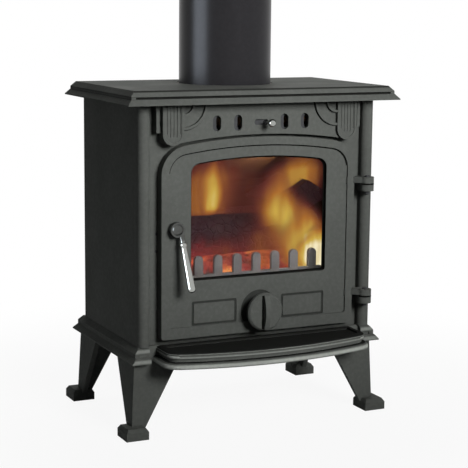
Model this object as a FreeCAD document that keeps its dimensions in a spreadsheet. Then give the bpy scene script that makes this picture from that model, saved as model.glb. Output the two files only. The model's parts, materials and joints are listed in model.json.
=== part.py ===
import FreeCAD, Part
import math
import os
from collections import namedtuple

import Sketcher

# Cast iron wood stove on four legs with one glazed door. All lengths in millimetres.
# Frame: origin on the floor under the middle of the overall box, X to the viewer's right,
# Y towards the back, Z up. The door faces -Y.

SIZES = {
    # carcass
    "body_width": 421.0,
    "body_depth": 244.8,
    "body_height": 385.0,
    "wall": 6.0,
    # legs
    "leg_height": 122.0,
    "leg_top_web": 78.0,
    "leg_ankle_web": 22.5,
    "leg_web_thick": 9.0,
    "leg_side_inset": 9.2,
    "leg_end_inset": 17.0,
    "ankle_splay": 5.4,
    "ankle_reach": 3.0,
    "foot_width": 38.0,
    "foot_length": 42.0,
    "foot_block": 13.0,
    "foot_slope": 6.0,
    "foot_slope_inset": 4.0,
    "foot_side_reach": 11.9,
    "foot_end_reach": 4.6,
    "leg_flange": 40.0,
    "leg_flange_thick": 8.0,
    "leg_flange_bite": 2.0,
    "leg_bolt_in": 29.0,
    "leg_bolt_bite": 12.5,
    # moulded plates
    "base_height": 25.0,
    "base_side": 14.7,
    "base_front": 17.4,
    "base_back": 25.0,
    "base_skin": 8.0,
    "base_rim": 62.0,
    "base_front_rim": 14.0,
    "top_height": 22.6,
    "top_side": 29.5,
    "top_front": 41.1,
    "top_back": 11.3,
    "top_skin": 6.6,
    "top_rim": 32.0,
    "top_rear_rim": 16.0,
    "bead_lip": 1.8,
    "bead_rise": 8.0,
    "bead_inset": 7.2,
    "bead_second": 7.4,
    "bead_neck": 11.0,
    # ash shelf
    "shelf_reach": 92.6,
    "shelf_inset": 40.2,
    "shelf_clearance": 8.0,
    "shelf_bow": 580.0,
    "shelf_corner": 30.0,
    "shelf_trim": 20.0,
    "shelf_skin": 9.0,
    "shelf_back_rim": 14.0,
    "shelf_bolt_in": 28.0,
    "shelf_bolt_rise": 8.0,
    "shelf_bolt_bite": 10.0,
    "tray_depth": 3.0,
    "tray_margin": 4.0,
    "tray_back": 10.0,
    # front frame
    "frame_recess": 7.4,
    "frame_plate": 8.0,
    "column_width": 20.0,
    "air_gap_width": 180.0,
    "air_gap_height": 12.0,
    "doorway_lap": 10.5,
    "doorway_foot": 8.0,
    # door
    "door_margin": 17.0,
    "door_sill": 9.5,
    "door_head": 55.5,
    "door_arch": 870.0,
    "door_corner": 47.0,
    "door_foot_corner": 5.0,
    "door_depth": 17.0,
    "door_gap": 1.0,
    "door_skin": 7.0,
    "door_land": 15.0,
    "land_foot": 4.0,
    "rim_width": 13.0,
    "rim_foot": 5.0,
    "rim_proud": 3.0,
    "rope_width": 7.0,
    "rope_depth": 4.0,
    "rope_inset": 3.0,
    "rope_foot": 3.0,
    "window_stile": 51.5,
    "window_sill": 92.5,
    "window_head": 31.5,
    "window_arch": 800.0,
    "window_corner": 17.0,
    "window_foot": 5.0,
    "glass_lap": 8.0,
    "glass_foot": 6.0,
    "glass_thick": 4.0,
    "gasket_thick": 2.0,
    "gasket_set": 1.0,
    "clip_width": 24.0,
    "clip_thick": 1.6,
    "clip_lap": 6.0,
    "clip_foot": 13.0,
    "clip_low": 36.0,
    "clip_high": 52.0,
    "clip_screw_bite": 3.0,
    "panel_inset": 53.5,
    "panel_low": 18.5,
    "panel_high": 58.5,
    "panel_sunk": 1.6,
    "panel_line": 4.0,
    "panel_round": 3.0,
    "panel_line_round": 2.0,
    # hinges
    "hinge_out": 2.0,
    "hinge_ahead": 20.6,
    "knuckle_radius": 11.0,
    "knuckle_height": 10.0,
    "lug_height": 13.0,
    "lug_step": 4.0,
    "lug_shoulder": 8.0,
    "arm_root": 14.0,
    "arm_sink": 1.0,
    "arm_shoulder": 3.0,
    "arm_tail": 4.0,
    "arm_back": 5.0,
    "upper_hinge_drop": 82.5,
    "lower_hinge_rise": 47.5,
    "pin_radius": 4.0,
    "pin_chamfer": 1.5,
    "pin_above": 3.0,
    "pin_below": 7.0,
    "pin_clearance": 0.08,
    "pin_seat": 0.02,
    "seat_gap": 0.3,
    # door latch
    "latch_inset": 23.0,
    "latch_rise": 178.8,
    "spindle_radius": 4.5,
    "spindle_tail": 7.0,
    "turn_clearance": 0.1,
    "bush_radius": 9.5,
    "bush_thick": 6.0,
    "bush_wall": 2.4,
    "bush_chamfer": 2.0,
    "lever_eye": 12.0,
    "lever_eye_thick": 9.0,
    "lever_cap": 4.5,
    "cap_inset": 3.0,
    "cap_slot_width": 1.6,
    "cap_slot_depth": 1.2,
    "lever_lean": 16.0,
    "lever_swing": 5.0,
    "lever_grip": 70.0,
    "lever_neck": 18.0,
    "neck_offset": 7.44,
    "neck_root_radius": 4.4,
    "neck_tip_radius": 3.6,
    "collar_bead_radius": 5.8,
    "grip_top_radius": 4.2,
    "grip_end_radius": 6.4,
    "tongue_length": 32.0,
    "tongue_width": 11.0,
    "tongue_thick": 6.0,
    "tongue_back": 30.0,
    "latch_nut_wall": 2.5,
    "latch_nut_height": 5.0,
    "nut_chamfer": 1.0,
    "keeper_drop": 19.0,
    "keeper_height": 9.0,
    "keeper_thick": 6.0,
    "keeper_gap": 0.6,
    "keeper_inset": 4.0,
    "keeper_width": 16.0,
    "keeper_reach": 22.0,
    "keeper_screw_pitch": 28.0,
    # lower air control
    "knob_rise": 36.5,
    "knob_radius": 31.0,
    "knob_stand": 18.0,
    "knob_thick": 9.0,
    "knob_face": 4.0,
    "knob_hub": 11.0,
    "knob_round": 3.0,
    "knob_back_round": 1.0,
    "knob_bar": 9.0,
    "knob_bar_length": 57.0,
    "knob_bar_shoulder": 3.0,
    "knob_bar_sink": 1.0,
    "knob_bar_bow": 62.7,
    "dish_radius": 32.5,
    "dish_sunk": 1.6,
    "dish_margin": 8.0,
    "port_radius": 4.5,
    "port_circle": 13.0,
    "shutter_radius": 20.5,
    "shutter_thick": 2.5,
    "air_spindle_radius": 4.0,
    "air_spindle_tail": 6.0,
    "air_nut_wall": 3.0,
    "air_nut_height": 4.0,
    # header with the upper air slide
    "header_proud": 17.0,
    "header_skin": 5.0,
    "header_inset": 8.5,
    "header_strip_drop": 45.0,
    "strip_gap": 3.5,
    "strip_gap_depth": 4.0,
    "header_arch_gap": 4.0,
    "header_screw_rise": 8.0,
    "header_screw_bite": 10.0,
    "pilaster_inset": 27.0,
    "pilaster_width": 36.0,
    "pilaster_drop": 65.0,
    "pilaster_proud": 5.0,
    "pilaster_rim": 4.0,
    "pilaster_sunk": 1.4,
    "flute_width": 3.0,
    "flute_depth": 1.2,
    "flute_inner_drop": 4.0,
    "flute_outer_rise": 1.0,
    "fan_radius": 41.0,
    "fan_bead": 4.0,
    "fan_sunk": 1.5,
    "fan_inner": 20.0,
    "fan_proud": 4.0,
    "slot_width": 14.0,
    "slot_height": 25.0,
    "slot_inner": 41.5,
    "slot_pitch": 37.0,
    "slot_drop": 32.5,
    "slide_slot_height": 9.0,
    "slide_travel": 18.0,
    "slide_offset": 8.0,
    "slide_height": 36.0,
    "slide_length": 204.0,
    "slide_thick": 2.5,
    "slide_stem_radius": 2.5,
    "slide_stem_clearance": 1.0,
    "slide_stem_spigot": 2.0,
    "slide_stem_reach": 16.0,
    "slide_ball": 6.5,
    "slide_ball_seat": 5.85,
    # flue
    "flue_setback": 4.5,
    "flue_radius": 77.0,
    "flue_wall": 2.0,
    "flue_length": 250.0,
    "collar_gap": 0.6,
    "collar_wall": 5.0,
    "collar_depth": 46.0,
    "collar_flange": 96.0,
    "collar_flange_thick": 8.0,
    "collar_ledge": 5.0,
    "collar_bolt_in": 7.0,
    "collar_bolt_cover": 1.5,
    "seal_width": 2.6,
    "seal_sunk": 1.0,
    # lining
    "grate_rise": 75.0,
    "grate_thick": 12.0,
    "grate_front": 4.0,
    "grate_gap": 1.0,
    "grate_bearing": 7.0,
    "grate_bar": 12.0,
    "grate_slot": 13.0,
    "grate_slot_front": 32.0,
    "grate_slot_rear": 12.0,
    "ledge_thick": 8.0,
    "ledge_front": 22.0,
    "brick_thick": 24.0,
    "brick_gap": 13.0,
    "brick_chamfer": 6.0,
    "rear_brick_inset": 21.5,
    "guard_pitch": 35.0,
    "guard_finger": 15.0,
    "guard_height": 45.0,
    "guard_foot": 14.0,
    "guard_thick": 7.0,
    "guard_back": 11.0,
    "baffle_rear_drop": 157.0,
    "baffle_front_drop": 100.0,
    "baffle_run": 120.0,
    "baffle_thick": 6.0,
    "baffle_side_gap": 22.5,
    "baffle_rear_gap": 2.0,
    "baffle_bearing": 8.0,
    "baffle_ledge_start": 15.0,
    "pan_side_gap": 40.5,
    "pan_front_gap": 16.0,
    "pan_rear_gap": 37.4,
    "pan_height": 52.0,
    "pan_wall": 1.6,
    "pan_lip": 10.0,
    "pan_lip_width": 90.0,
    # logs on their bed of embers
    "bed_height": 34.0,
    "bed_slope": 16.0,
    "bed_gap": 4.0,
    "bed_corner": 24.0,
    "log_gap": 8.8,
    "log_end_gap": 34.0,
    "log_headroom": 20.0,
    "log_bark": 3.0,
    "split_width": 114.0,
    "split_height": 52.0,
    "split_low_side": 12.0,
    "split_high_side": 22.0,
    "split_ridge": 12.0,
    "split_headroom": 6.0,
    # tie rods and the spare rear outlet
    "rod_radius": 4.0,
    "rod_side": 20.5,
    "rod_front": 24.0,
    "rod_rear": 16.0,
    "rod_grip": 15.0,
    "rod_head": 7.5,
    "rod_head_height": 6.5,
    "rod_head_clearance": 1.5,
    "rod_sink": 8.0,
    "outlet_radius": 66.0,
    "outlet_drop": 92.0,
    "cover_radius": 80.0,
    "cover_thick": 6.0,
    "cover_spigot": 4.0,
    "cover_fit": 1.0,
    "cover_chamfer": 2.0,
    "cover_screw_in": 7.0,
    # fasteners
    "bolt_radius": 3.0,
    "bolt_head": 6.0,
    "bolt_head_height": 4.5,
    "bolt_clearance": 0.4,
    "bolt_end_gap": 1.0,
    "screw_radius": 2.5,
    "screw_head": 4.5,
    "screw_head_height": 2.5,
    "fit": 0.25,
    "cut_over": 5.0,
}

doc = FreeCAD.newDocument("wood_stove")
sheet = doc.addObject("Spreadsheet::Sheet", "Sizes")
for row, (alias, number) in enumerate(SIZES.items(), 1):
    sheet.set(f"A{row}", alias)
    sheet.set(f"B{row}", str(number))
    sheet.setAlias(f"B{row}", alias)
doc.recompute()


class Size:
    """A length that carries its value and the sheet formula it comes from."""

    def __init__(self, value, text):
        self.value = float(value)
        self.text = text

    def __add__(self, other):
        other = as_size(other)
        return Size(self.value + other.value, f"({self.text} + {other.text})")

    def __radd__(self, other):
        return as_size(other) + self

    def __sub__(self, other):
        other = as_size(other)
        return Size(self.value - other.value, f"({self.text} - {other.text})")

    def __rsub__(self, other):
        return as_size(other) - self

    def __mul__(self, other):
        other = as_size(other)
        return Size(self.value * other.value, f"({self.text} * {other.text})")

    def __rmul__(self, other):
        return as_size(other) * self

    def __truediv__(self, other):
        other = as_size(other)
        return Size(self.value / other.value, f"({self.text} / {other.text})")

    def __neg__(self):
        return Size(-self.value, f"(-1 * {self.text})")


def as_size(thing):
    if isinstance(thing, Size):
        return thing
    return Size(thing, f"({float(thing)})")


def root(thing):
    return Size(math.sqrt(thing.value), f"sqrt({thing.text})")


def least(first, second):
    return Size(min(first.value, second.value), f"min({first.text}; {second.text})")


def slope(run, rise):
    """Angle in degrees of a face that runs `run` across while it rises `rise`."""
    run = as_size(run)
    rise = as_size(rise)
    return Size(math.degrees(math.atan2(run.value, rise.value)), f"atan({run.text} / {rise.text})")


class Named:
    """The sheet's sizes by name."""

    def __init__(self, names):
        for name in names:
            setattr(self, name, Size(sheet.get(name), f"Sizes.{name}"))


S = Named(SIZES)

Circle = namedtuple("Circle", "x y radius")
Spot = namedtuple("Spot", "x y z")
HALF = "half round"
PLANES = {"XY": ("XY_Plane", 1), "XZ": ("XZ_Plane", -1), "YZ": ("YZ_Plane", 1)}


def bind(thing, name, amount):
    thing.setExpression(name, as_size(amount).text)


def origin_plane(body, role):
    for feature in body.Origin.OriginFeatures:
        if feature.Role == role:
            return feature
    raise RuntimeError(f"{body.Label} has no {role}")


def new_body(label, x=0, y=0, z=0):
    body = doc.addObject("PartDesign::Body", label)
    body.Label = label
    place(body, x, y, z)
    return body


def place(thing, x, y, z, turn=None):
    thing.Placement = FreeCAD.Placement(FreeCAD.Vector(), turn or FreeCAD.Rotation())
    for axis, amount in zip("xyz", (x, y, z)):
        bind(thing, f"Placement.Base.{axis}", amount)


def arc_middle(start, end, radius, outward):
    """Point halfway along the short arc from start to end, on its right for an outward arc."""
    run = end - start
    half = run.Length / 2
    rise = radius - math.sqrt(max(radius * radius - half * half, 0.0))
    right = FreeCAD.Vector(run.y, -run.x, 0).normalize()
    return start + run * 0.5 + right * (rise if outward else -rise)


def draw_loop(sketch, corners):
    """Closed outline through corners (x, y) or (x, y, radius of the arc to the next corner)."""
    count = len(corners)
    spots = []
    for corner in corners:
        spots.append(FreeCAD.Vector(as_size(corner[0]).value, as_size(corner[1]).value, 0))
    ends = []
    extra = []
    for k, corner in enumerate(corners):
        start = spots[k]
        end = spots[(k + 1) % count]
        if len(corner) == 2:
            ends.append((sketch.addGeometry(Part.LineSegment(start, end)), 1, 2))
            continue
        bulge = corner[2]
        if bulge == HALF:
            middle = arc_middle(start, end, (end - start).Length / 2, True)
            arc = sketch.addGeometry(Part.Arc(start, middle, end))
            ends.append((arc, 1, 2))
            if abs(end.x - start.x) > abs(end.y - start.y):
                extra.append(("DistanceY", arc, corner[1]))
            else:
                extra.append(("DistanceX", arc, corner[0]))
            continue
        bulge = as_size(bulge)
        outward = bulge.value > 0
        middle = arc_middle(start, end, abs(bulge.value), outward)
        arc = sketch.addGeometry(Part.Arc(start, middle, end))
        ends.append((arc, 1, 2) if outward else (arc, 2, 1))
        extra.append(("Radius", arc, bulge if outward else -bulge))
    for k in range(count):
        here = ends[k]
        after = ends[(k + 1) % count]
        sketch.addConstraint(Sketcher.Constraint("Coincident", here[0], here[2], after[0], after[1]))
    for k, corner in enumerate(corners):
        for kind, amount in (("DistanceX", corner[0]), ("DistanceY", corner[1])):
            amount = as_size(amount)
            number = sketch.addConstraint(
                Sketcher.Constraint(kind, -1, 1, ends[k][0], ends[k][1], amount.value)
            )
            bind(sketch, f"Constraints[{number}]", amount)
    for kind, arc, amount in extra:
        amount = as_size(amount)
        if kind == "Radius":
            number = sketch.addConstraint(Sketcher.Constraint(kind, arc, amount.value))
        else:
            number = sketch.addConstraint(Sketcher.Constraint(kind, -1, 1, arc, 3, amount.value))
        bind(sketch, f"Constraints[{number}]", amount)


def draw_circle(sketch, circle):
    centre = FreeCAD.Vector(as_size(circle.x).value, as_size(circle.y).value, 0)
    radius = as_size(circle.radius)
    ring = sketch.addGeometry(Part.Circle(centre, FreeCAD.Vector(0, 0, 1), radius.value))
    for kind, amount in (("DistanceX", circle.x), ("DistanceY", circle.y)):
        amount = as_size(amount)
        number = sketch.addConstraint(Sketcher.Constraint(kind, -1, 1, ring, 3, amount.value))
        bind(sketch, f"Constraints[{number}]", amount)
    number = sketch.addConstraint(Sketcher.Constraint("Radius", ring, radius.value))
    bind(sketch, f"Constraints[{number}]", radius)


def new_sketch(body, name, plane, level, loops):
    role, way = PLANES[plane]
    sketch = body.newObject("Sketcher::SketchObject", f"{body.Label}_{name}_outline")
    sketch.AttachmentSupport = [(origin_plane(body, role), "")]
    sketch.MapMode = "FlatFace"
    bind(sketch, "AttachmentOffset.Base.z", as_size(level) * way)
    for loop in loops:
        if isinstance(loop, Circle):
            draw_circle(sketch, loop)
        else:
            draw_loop(sketch, loop)
    return sketch


def pad(body, name, plane, level, length, loops, taper=None):
    """Adds material from `level` towards +Z, -Y or +X of the plane."""
    feature = body.newObject("PartDesign::Pad", f"{body.Label}_{name}")
    feature.Profile = new_sketch(body, name, plane, level, loops)
    bind(feature, "Length", length)
    if taper is not None:
        bind(feature, "TaperAngle", taper)
    return feature


def pocket(body, name, plane, level, depth, loops, along=False):
    """Cuts from `level` against the plane's normal, or along it."""
    feature = body.newObject("PartDesign::Pocket", f"{body.Label}_{name}")
    feature.Profile = new_sketch(body, name, plane, level, loops)
    bind(feature, "Length", depth)
    feature.Reversed = along
    return feature


def spin(body, name, plane, loops, axis="V_Axis"):
    sketch = new_sketch(body, name, plane, 0, loops)
    feature = body.newObject("PartDesign::Revolution", f"{body.Label}_{name}")
    feature.Profile = sketch
    feature.ReferenceAxis = (sketch, [axis])
    feature.Angle = 360.0
    return feature


def mirror(body, name, features):
    feature = body.newObject("PartDesign::Mirrored", f"{body.Label}_{name}")
    feature.Originals = features
    feature.MirrorPlane = (origin_plane(body, "YZ_Plane"), [""])
    body.Tip = feature
    return feature


def box(x0, y0, x1, y1):
    return [(x0, y0), (x1, y0), (x1, y1), (x0, y1)]


def rounded(x0, y0, x1, y1, radius):
    return [
        (x0 + radius, y0),
        (x1 - radius, y0, radius),
        (x1, y0 + radius),
        (x1, y1 - radius, radius),
        (x1 - radius, y1),
        (x0 + radius, y1, radius),
        (x0, y1 - radius),
        (x0, y0 + radius, radius),
    ]


def upright_slot(x, y, width, height):
    side = width / 2
    straight = height / 2 - side
    return [
        (x - side, y - straight, HALF),
        (x + side, y - straight),
        (x + side, y + straight, HALF),
        (x - side, y + straight),
    ]


def level_slot(x, y, width, height):
    end = height / 2
    straight = width / 2 - end
    return [
        (x - straight, y - end),
        (x + straight, y - end, HALF),
        (x + straight, y + end),
        (x - straight, y + end, HALF),
    ]


def arched(half, bottom, top, arch, corner, foot=None):
    """Outline with an arched top and round shoulders, all its arcs running into each other."""
    inner = half - corner
    hub = top - arch
    lift = root((arch - corner) * (arch - corner) - inner * inner)
    grow = arch / (arch - corner)
    shoulder = hub + lift
    joint_x = inner * grow
    joint_y = hub + lift * grow
    upper = [
        (half, shoulder, corner),
        (joint_x, joint_y, arch),
        (-joint_x, joint_y, corner),
        (-half, shoulder),
    ]
    if foot is None:
        return [(-half, bottom), (half, bottom)] + upper
    lower = [
        (-half, bottom + foot, foot),
        (foot - half, bottom),
        (half - foot, bottom, foot),
        (half, bottom + foot),
    ]
    return lower + upper


def primitive(kind, name, x, y, z, turn=None, **amounts):
    thing = doc.addObject(f"Part::{kind}", name)
    for prop, amount in amounts.items():
        bind(thing, prop, amount)
    place(thing, x, y, z, turn)
    return thing


def fuse(label, things):
    whole = doc.addObject("Part::MultiFuse", label)
    whole.Shapes = things
    whole.Refine = True
    whole.Label = label
    return whole


def cut(label, base, tool):
    left = doc.addObject("Part::Cut", label)
    left.Base = base
    left.Tool = tool
    left.Refine = True
    left.Label = label
    return left


def group(label, things):
    whole = doc.addObject("Part::Compound", label)
    whole.Links = things
    whole.Label = label
    return whole


X_AXIS = FreeCAD.Vector(1, 0, 0)
Y_AXIS = FreeCAD.Vector(0, 1, 0)
TURNS = {"+Z": FreeCAD.Rotation(), "-Y": FreeCAD.Rotation(X_AXIS, 90)}
HEXAGON = 6


def shifted(spot, way, amount):
    amount = as_size(amount) if way[0] == "+" else -as_size(amount)
    moved = {"x": spot.x, "y": spot.y, "z": spot.z}
    moved[way[1].lower()] = moved[way[1].lower()] + amount
    return Spot(**moved)


def bolts(label, seats, way, length, radius=S.bolt_radius, head=S.bolt_head, rise=S.bolt_head_height):
    """Hexagon bolts whose heads sit on the seats, shanks pointing `way`."""
    made = []
    for k, seat in enumerate(seats, 1):
        turn = TURNS[way]
        back = shifted(seat, way, -as_size(rise))
        crown = primitive("Prism", f"{label}_head_{k}", *back, turn, Circumradius=head, Height=rise)
        crown.Polygon = HEXAGON
        shank = primitive("Cylinder", f"{label}_shank_{k}", *seat, turn, Radius=radius, Height=length)
        made.append(fuse(f"{label}_bolt_{k}", [crown, shank]))
    return group(label, made)

ZERO = as_size(0)
SIDES = (("left", -1), ("right", 1))

# Levels and edges that several pieces share
half_width = S.body_width / 2
inner_half = half_width - S.wall
half_depth = (S.shelf_reach + S.body_depth + S.base_back + S.foot_end_reach) / 2
y_front = S.shelf_reach - half_depth
y_back = y_front + S.body_depth
y_back_inner = y_back - S.wall
y_frame = y_front + S.frame_recess
y_frame_back = y_frame + S.frame_plate
y_door_back = y_frame - S.door_gap
y_door_face = y_door_back - S.door_depth
y_door_field = y_door_face + S.rim_proud
y_door_inside = y_door_field + S.door_skin
y_header = y_frame - S.header_proud
z_floor = S.leg_height + S.base_height
z_lid = z_floor + S.body_height
z_top = z_lid + S.top_height
z_skin = z_top - S.top_skin
base_x = half_width + S.base_side
base_y0 = y_front - S.base_front
base_y1 = y_back + S.base_back
column_inner = half_width - S.column_width
column_centre = half_width - S.column_width / 2
door_half = column_inner - S.door_margin
door_z0 = z_floor + S.door_sill
door_z1 = z_lid - S.door_head
window_half = door_half - S.window_stile
window_z0 = door_z0 + S.window_sill
window_z1 = door_z1 - S.window_head
hinge_x = column_inner + S.hinge_out
hinge_y = y_front - S.hinge_ahead
hinge_levels = {"upper": door_z1 - S.upper_hinge_drop, "lower": door_z0 + S.lower_hinge_rise}
latch_x = S.latch_inset - door_half
latch_z = door_z0 + S.latch_rise
knob_z = door_z0 + S.knob_rise
slot_z = z_lid - S.slot_drop
flue_y = (y_frame_back + y_back_inner) / 2 + S.flue_setback
grate_z = z_floor + S.grate_rise
grate_top = grate_z + S.grate_thick
hole = S.bolt_radius + S.bolt_clearance
rod_x = half_width - S.rod_side
rod_y0 = y_front + S.rod_front
rod_y1 = y_back - S.rod_rear
rod_spots = [(-rod_x, rod_y0), (rod_x, rod_y0), (-rod_x, rod_y1), (rod_x, rod_y1)]
pieces = []


def moulding(body, level, height, outline):
    """Two bevelled beads with a groove between them; outline(inset) gives the plan."""
    taper = -slope(S.bead_inset, S.bead_rise)
    waist = height - 2 * (S.bead_lip + S.bead_rise)
    pad(body, "lower_lip", "XY", level, S.bead_lip, outline(ZERO))
    level = level + S.bead_lip
    pad(body, "lower_bevel", "XY", level, S.bead_rise, outline(ZERO), taper)
    level = level + S.bead_rise
    pad(body, "groove", "XY", level, waist, outline(S.bead_neck))
    level = level + waist
    pad(body, "upper_lip", "XY", level, S.bead_lip, outline(S.bead_second))
    level = level + S.bead_lip
    pad(body, "upper_bevel", "XY", level, S.bead_rise, outline(S.bead_second), taper)


# Base plate with moulded corner blocks and a notch for the ash shelf
def base_outline(inset):
    return [box(inset - base_x, base_y0 + inset, base_x - inset, base_y1 - inset)]


shelf_half = base_x - S.shelf_inset
notch_half = shelf_half + S.shelf_clearance
hollow_half = base_x - S.base_rim
hollow_y = y_front + S.base_front_rim
shelf_bolt_x = hollow_half - S.shelf_bolt_in
shelf_bolt_z = S.leg_height + S.shelf_bolt_rise
leg_bolt_x = base_x - S.leg_side_inset - S.leg_web_thick - S.leg_bolt_in
leg_bolt_in = S.leg_end_inset + S.leg_web_thick + S.leg_bolt_in
leg_bolt_spots = []
for side in (-1, 1):
    for y in (base_y0 + leg_bolt_in, base_y1 - leg_bolt_in):
        leg_bolt_spots.append((side * leg_bolt_x, y))
base = new_body("base_plate")
moulding(base, S.leg_height, S.base_height, base_outline)
pocket(
    base, "shelf_notch", "XY", z_floor, S.base_height,
    [box(-notch_half, base_y0 - S.cut_over, notch_half, y_front)],
)
pocket(
    base, "hollow", "XY", S.leg_height, S.base_height - S.base_skin,
    [box(-hollow_half, hollow_y, hollow_half, base_y1 - S.base_rim)], along=True,
)
pocket(
    base, "rod_holes", "XY", z_floor, S.base_height,
    [Circle(x, y, S.rod_radius + S.bolt_clearance) for x, y in rod_spots],
)
pocket(
    base, "rod_head_sinks", "XY", S.leg_height, S.rod_sink,
    [Circle(x, y, S.rod_head + S.rod_head_clearance) for x, y in rod_spots], along=True,
)
pocket(
    base, "leg_bolt_holes", "XY", S.leg_height, S.leg_bolt_bite + S.bolt_end_gap,
    [Circle(x, y, S.bolt_radius) for x, y in leg_bolt_spots], along=True,
)
pocket(
    base, "shelf_bolt_holes", "XZ", y_front, S.base_front_rim + S.bolt_clearance,
    [Circle(side * shelf_bolt_x, shelf_bolt_z, hole) for side in (-1, 1)],
)
pieces.append(base)

# Bowed ash shelf with the same moulding and a shallow tray
shelf_front = y_front - S.shelf_reach
tray_inset = S.bead_second + S.bead_inset + S.tray_margin


def flipped(corners):
    """The outline mirrored top to bottom, still running the same way round."""
    count = len(corners)
    turned = []
    for k in range(count):
        here = corners[count - 1 - k]
        bulge = corners[(count - 2 - k) % count][2:]
        turned.append((here[0], -here[1]) + bulge)
    return turned


def bowed(inset, back):
    """Plan of the shelf drawn in by `inset`, with its straight side at `back`."""
    bow = arched(
        shelf_half - inset, -back, -shelf_front - inset, S.shelf_bow - inset, S.shelf_corner - inset
    )
    return [flipped(bow)]


def shelf_outline(inset):
    return bowed(inset, y_front + S.shelf_trim)


shelf = new_body("ash_shelf")
moulding(shelf, S.leg_height, S.base_height, shelf_outline)
pocket(
    shelf, "flat_back", "XY", z_floor, S.base_height,
    [box(-base_x, y_front - S.fit, base_x, y_front + S.shelf_trim + S.cut_over)],
)
pocket(shelf, "tray", "XY", z_floor, S.tray_depth, bowed(tray_inset, y_front - S.tray_back))
pocket(
    shelf, "hollow", "XY", S.leg_height, S.base_height - S.shelf_skin,
    bowed(tray_inset, y_front - S.shelf_back_rim), along=True,
)
pocket(
    shelf, "bolt_holes", "XZ", y_front - S.shelf_back_rim, S.shelf_back_rim,
    [Circle(side * shelf_bolt_x, shelf_bolt_z, S.bolt_radius) for side in (-1, 1)],
)
pieces.append(shelf)
pieces.append(
    bolts(
        "ash_shelf_bolts", [Spot(side * shelf_bolt_x, hollow_y, shelf_bolt_z) for side in (-1, 1)],
        "-Y", S.base_front_rim + S.shelf_bolt_bite,
    )
)


# Corner legs: angle webs that taper to an ankle on a splayed foot
def leg_section(corner_x, corner_y, side, end, web):
    near_x = corner_x - side * web
    near_y = corner_y - end * web
    inner_x = corner_x - side * S.leg_web_thick
    inner_y = corner_y - end * S.leg_web_thick
    return [
        (corner_x, corner_y), (near_x, corner_y), (near_x, inner_y),
        (inner_x, inner_y), (inner_x, near_y), (corner_x, near_y),
    ]


def leg(label, side, end):
    edge_y = base_y0 if end < 0 else base_y1
    corner_x = side * (base_x - S.leg_side_inset)
    corner_y = edge_y - end * S.leg_end_inset
    ankle_x = corner_x + side * S.ankle_splay
    ankle_y = corner_y + end * S.ankle_reach
    foot_x = side * (base_x + S.foot_side_reach)
    foot_y = edge_y + end * S.foot_end_reach
    sole = box(foot_x, foot_y, foot_x - side * S.foot_width, foot_y - end * S.foot_length)
    body = new_body(label)
    pad(body, "sole", "XY", 0, S.foot_block, [sole])
    taper = -slope(S.foot_slope_inset, S.foot_slope)
    pad(body, "instep", "XY", S.foot_block, S.foot_slope, [sole], taper)
    ankle = new_sketch(
        body, "ankle", "XY", S.foot_block,
        [leg_section(ankle_x, ankle_y, side, end, S.leg_ankle_web)],
    )
    top = new_sketch(
        body, "top", "XY", S.leg_height,
        [leg_section(corner_x, corner_y, side, end, S.leg_top_web)],
    )
    web = body.newObject("PartDesign::AdditiveLoft", f"{label}_webs")
    web.Profile = ankle
    web.Sections = [top]
    web.Ruled = True
    flange_x = corner_x - side * (S.leg_web_thick - S.leg_flange_bite)
    flange_y = corner_y - end * (S.leg_web_thick - S.leg_flange_bite)
    reach = S.leg_flange + S.leg_flange_bite
    pad(
        body, "flange", "XY", S.leg_height - S.leg_flange_thick, S.leg_flange_thick,
        [box(flange_x, flange_y, flange_x - side * reach, flange_y - end * reach)],
    )
    bolt_y = edge_y - end * leg_bolt_in
    pocket(
        body, "bolt_hole", "XY", S.leg_height, S.leg_flange_thick,
        [Circle(side * leg_bolt_x, bolt_y, hole)],
    )
    return body


for end_name, end in (("front", -1), ("back", 1)):
    for side_name, side in SIDES:
        pieces.append(leg(f"leg_{end_name}_{side_name}", side, end))
pieces.append(
    bolts(
        "leg_bolts", [Spot(x, y, S.leg_height - S.leg_flange_thick) for x, y in leg_bolt_spots],
        "+Z", S.leg_flange_thick + S.leg_bolt_bite,
    )
)

# Side plates with ledges for the grate, the bricks and the baffle
ledge_y0 = y_frame_back + S.ledge_front
ledge_y1 = y_back_inner - S.brick_thick
ledge_width = S.brick_thick + S.grate_bearing
baffle_half = inner_half - S.baffle_side_gap
baffle_rear = z_lid - S.baffle_rear_drop
baffle_y1 = y_back_inner - S.baffle_rear_gap
baffle_y0 = baffle_y1 - S.baffle_run
baffle_fall = (S.baffle_rear_drop - S.baffle_front_drop) / S.baffle_run
baffle_ledge = S.baffle_side_gap + S.baffle_bearing


def baffle_level(y):
    return baffle_rear + (baffle_y1 - y) * baffle_fall


def sloping(y0, y1, below, above):
    """Side view of a strip along the baffle's underside, from `below` it to `above` it."""
    return [
        (y0, baffle_level(y0) - below), (y1, baffle_level(y1) - below),
        (y1, baffle_level(y1) + above), (y0, baffle_level(y0) + above),
    ]


def side_plate(label, side):
    body = new_body(label)
    start = -half_width if side < 0 else inner_half
    pad(body, "plate", "YZ", start, S.wall, [box(y_frame_back, z_floor, y_back_inner, z_lid)])
    start = -inner_half if side < 0 else inner_half - ledge_width
    pad(
        body, "grate_ledge", "YZ", start, ledge_width,
        [box(ledge_y0, grate_z - S.ledge_thick, ledge_y1, grate_z)],
    )
    start = -inner_half if side < 0 else inner_half - baffle_ledge
    pad(
        body, "baffle_ledge", "YZ", start, baffle_ledge,
        [sloping(baffle_y0 + S.baffle_ledge_start, ledge_y1, S.ledge_thick, ZERO)],
    )
    return body


for side_name, side in SIDES:
    pieces.append(side_plate(f"side_plate_{side_name}", side))

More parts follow.
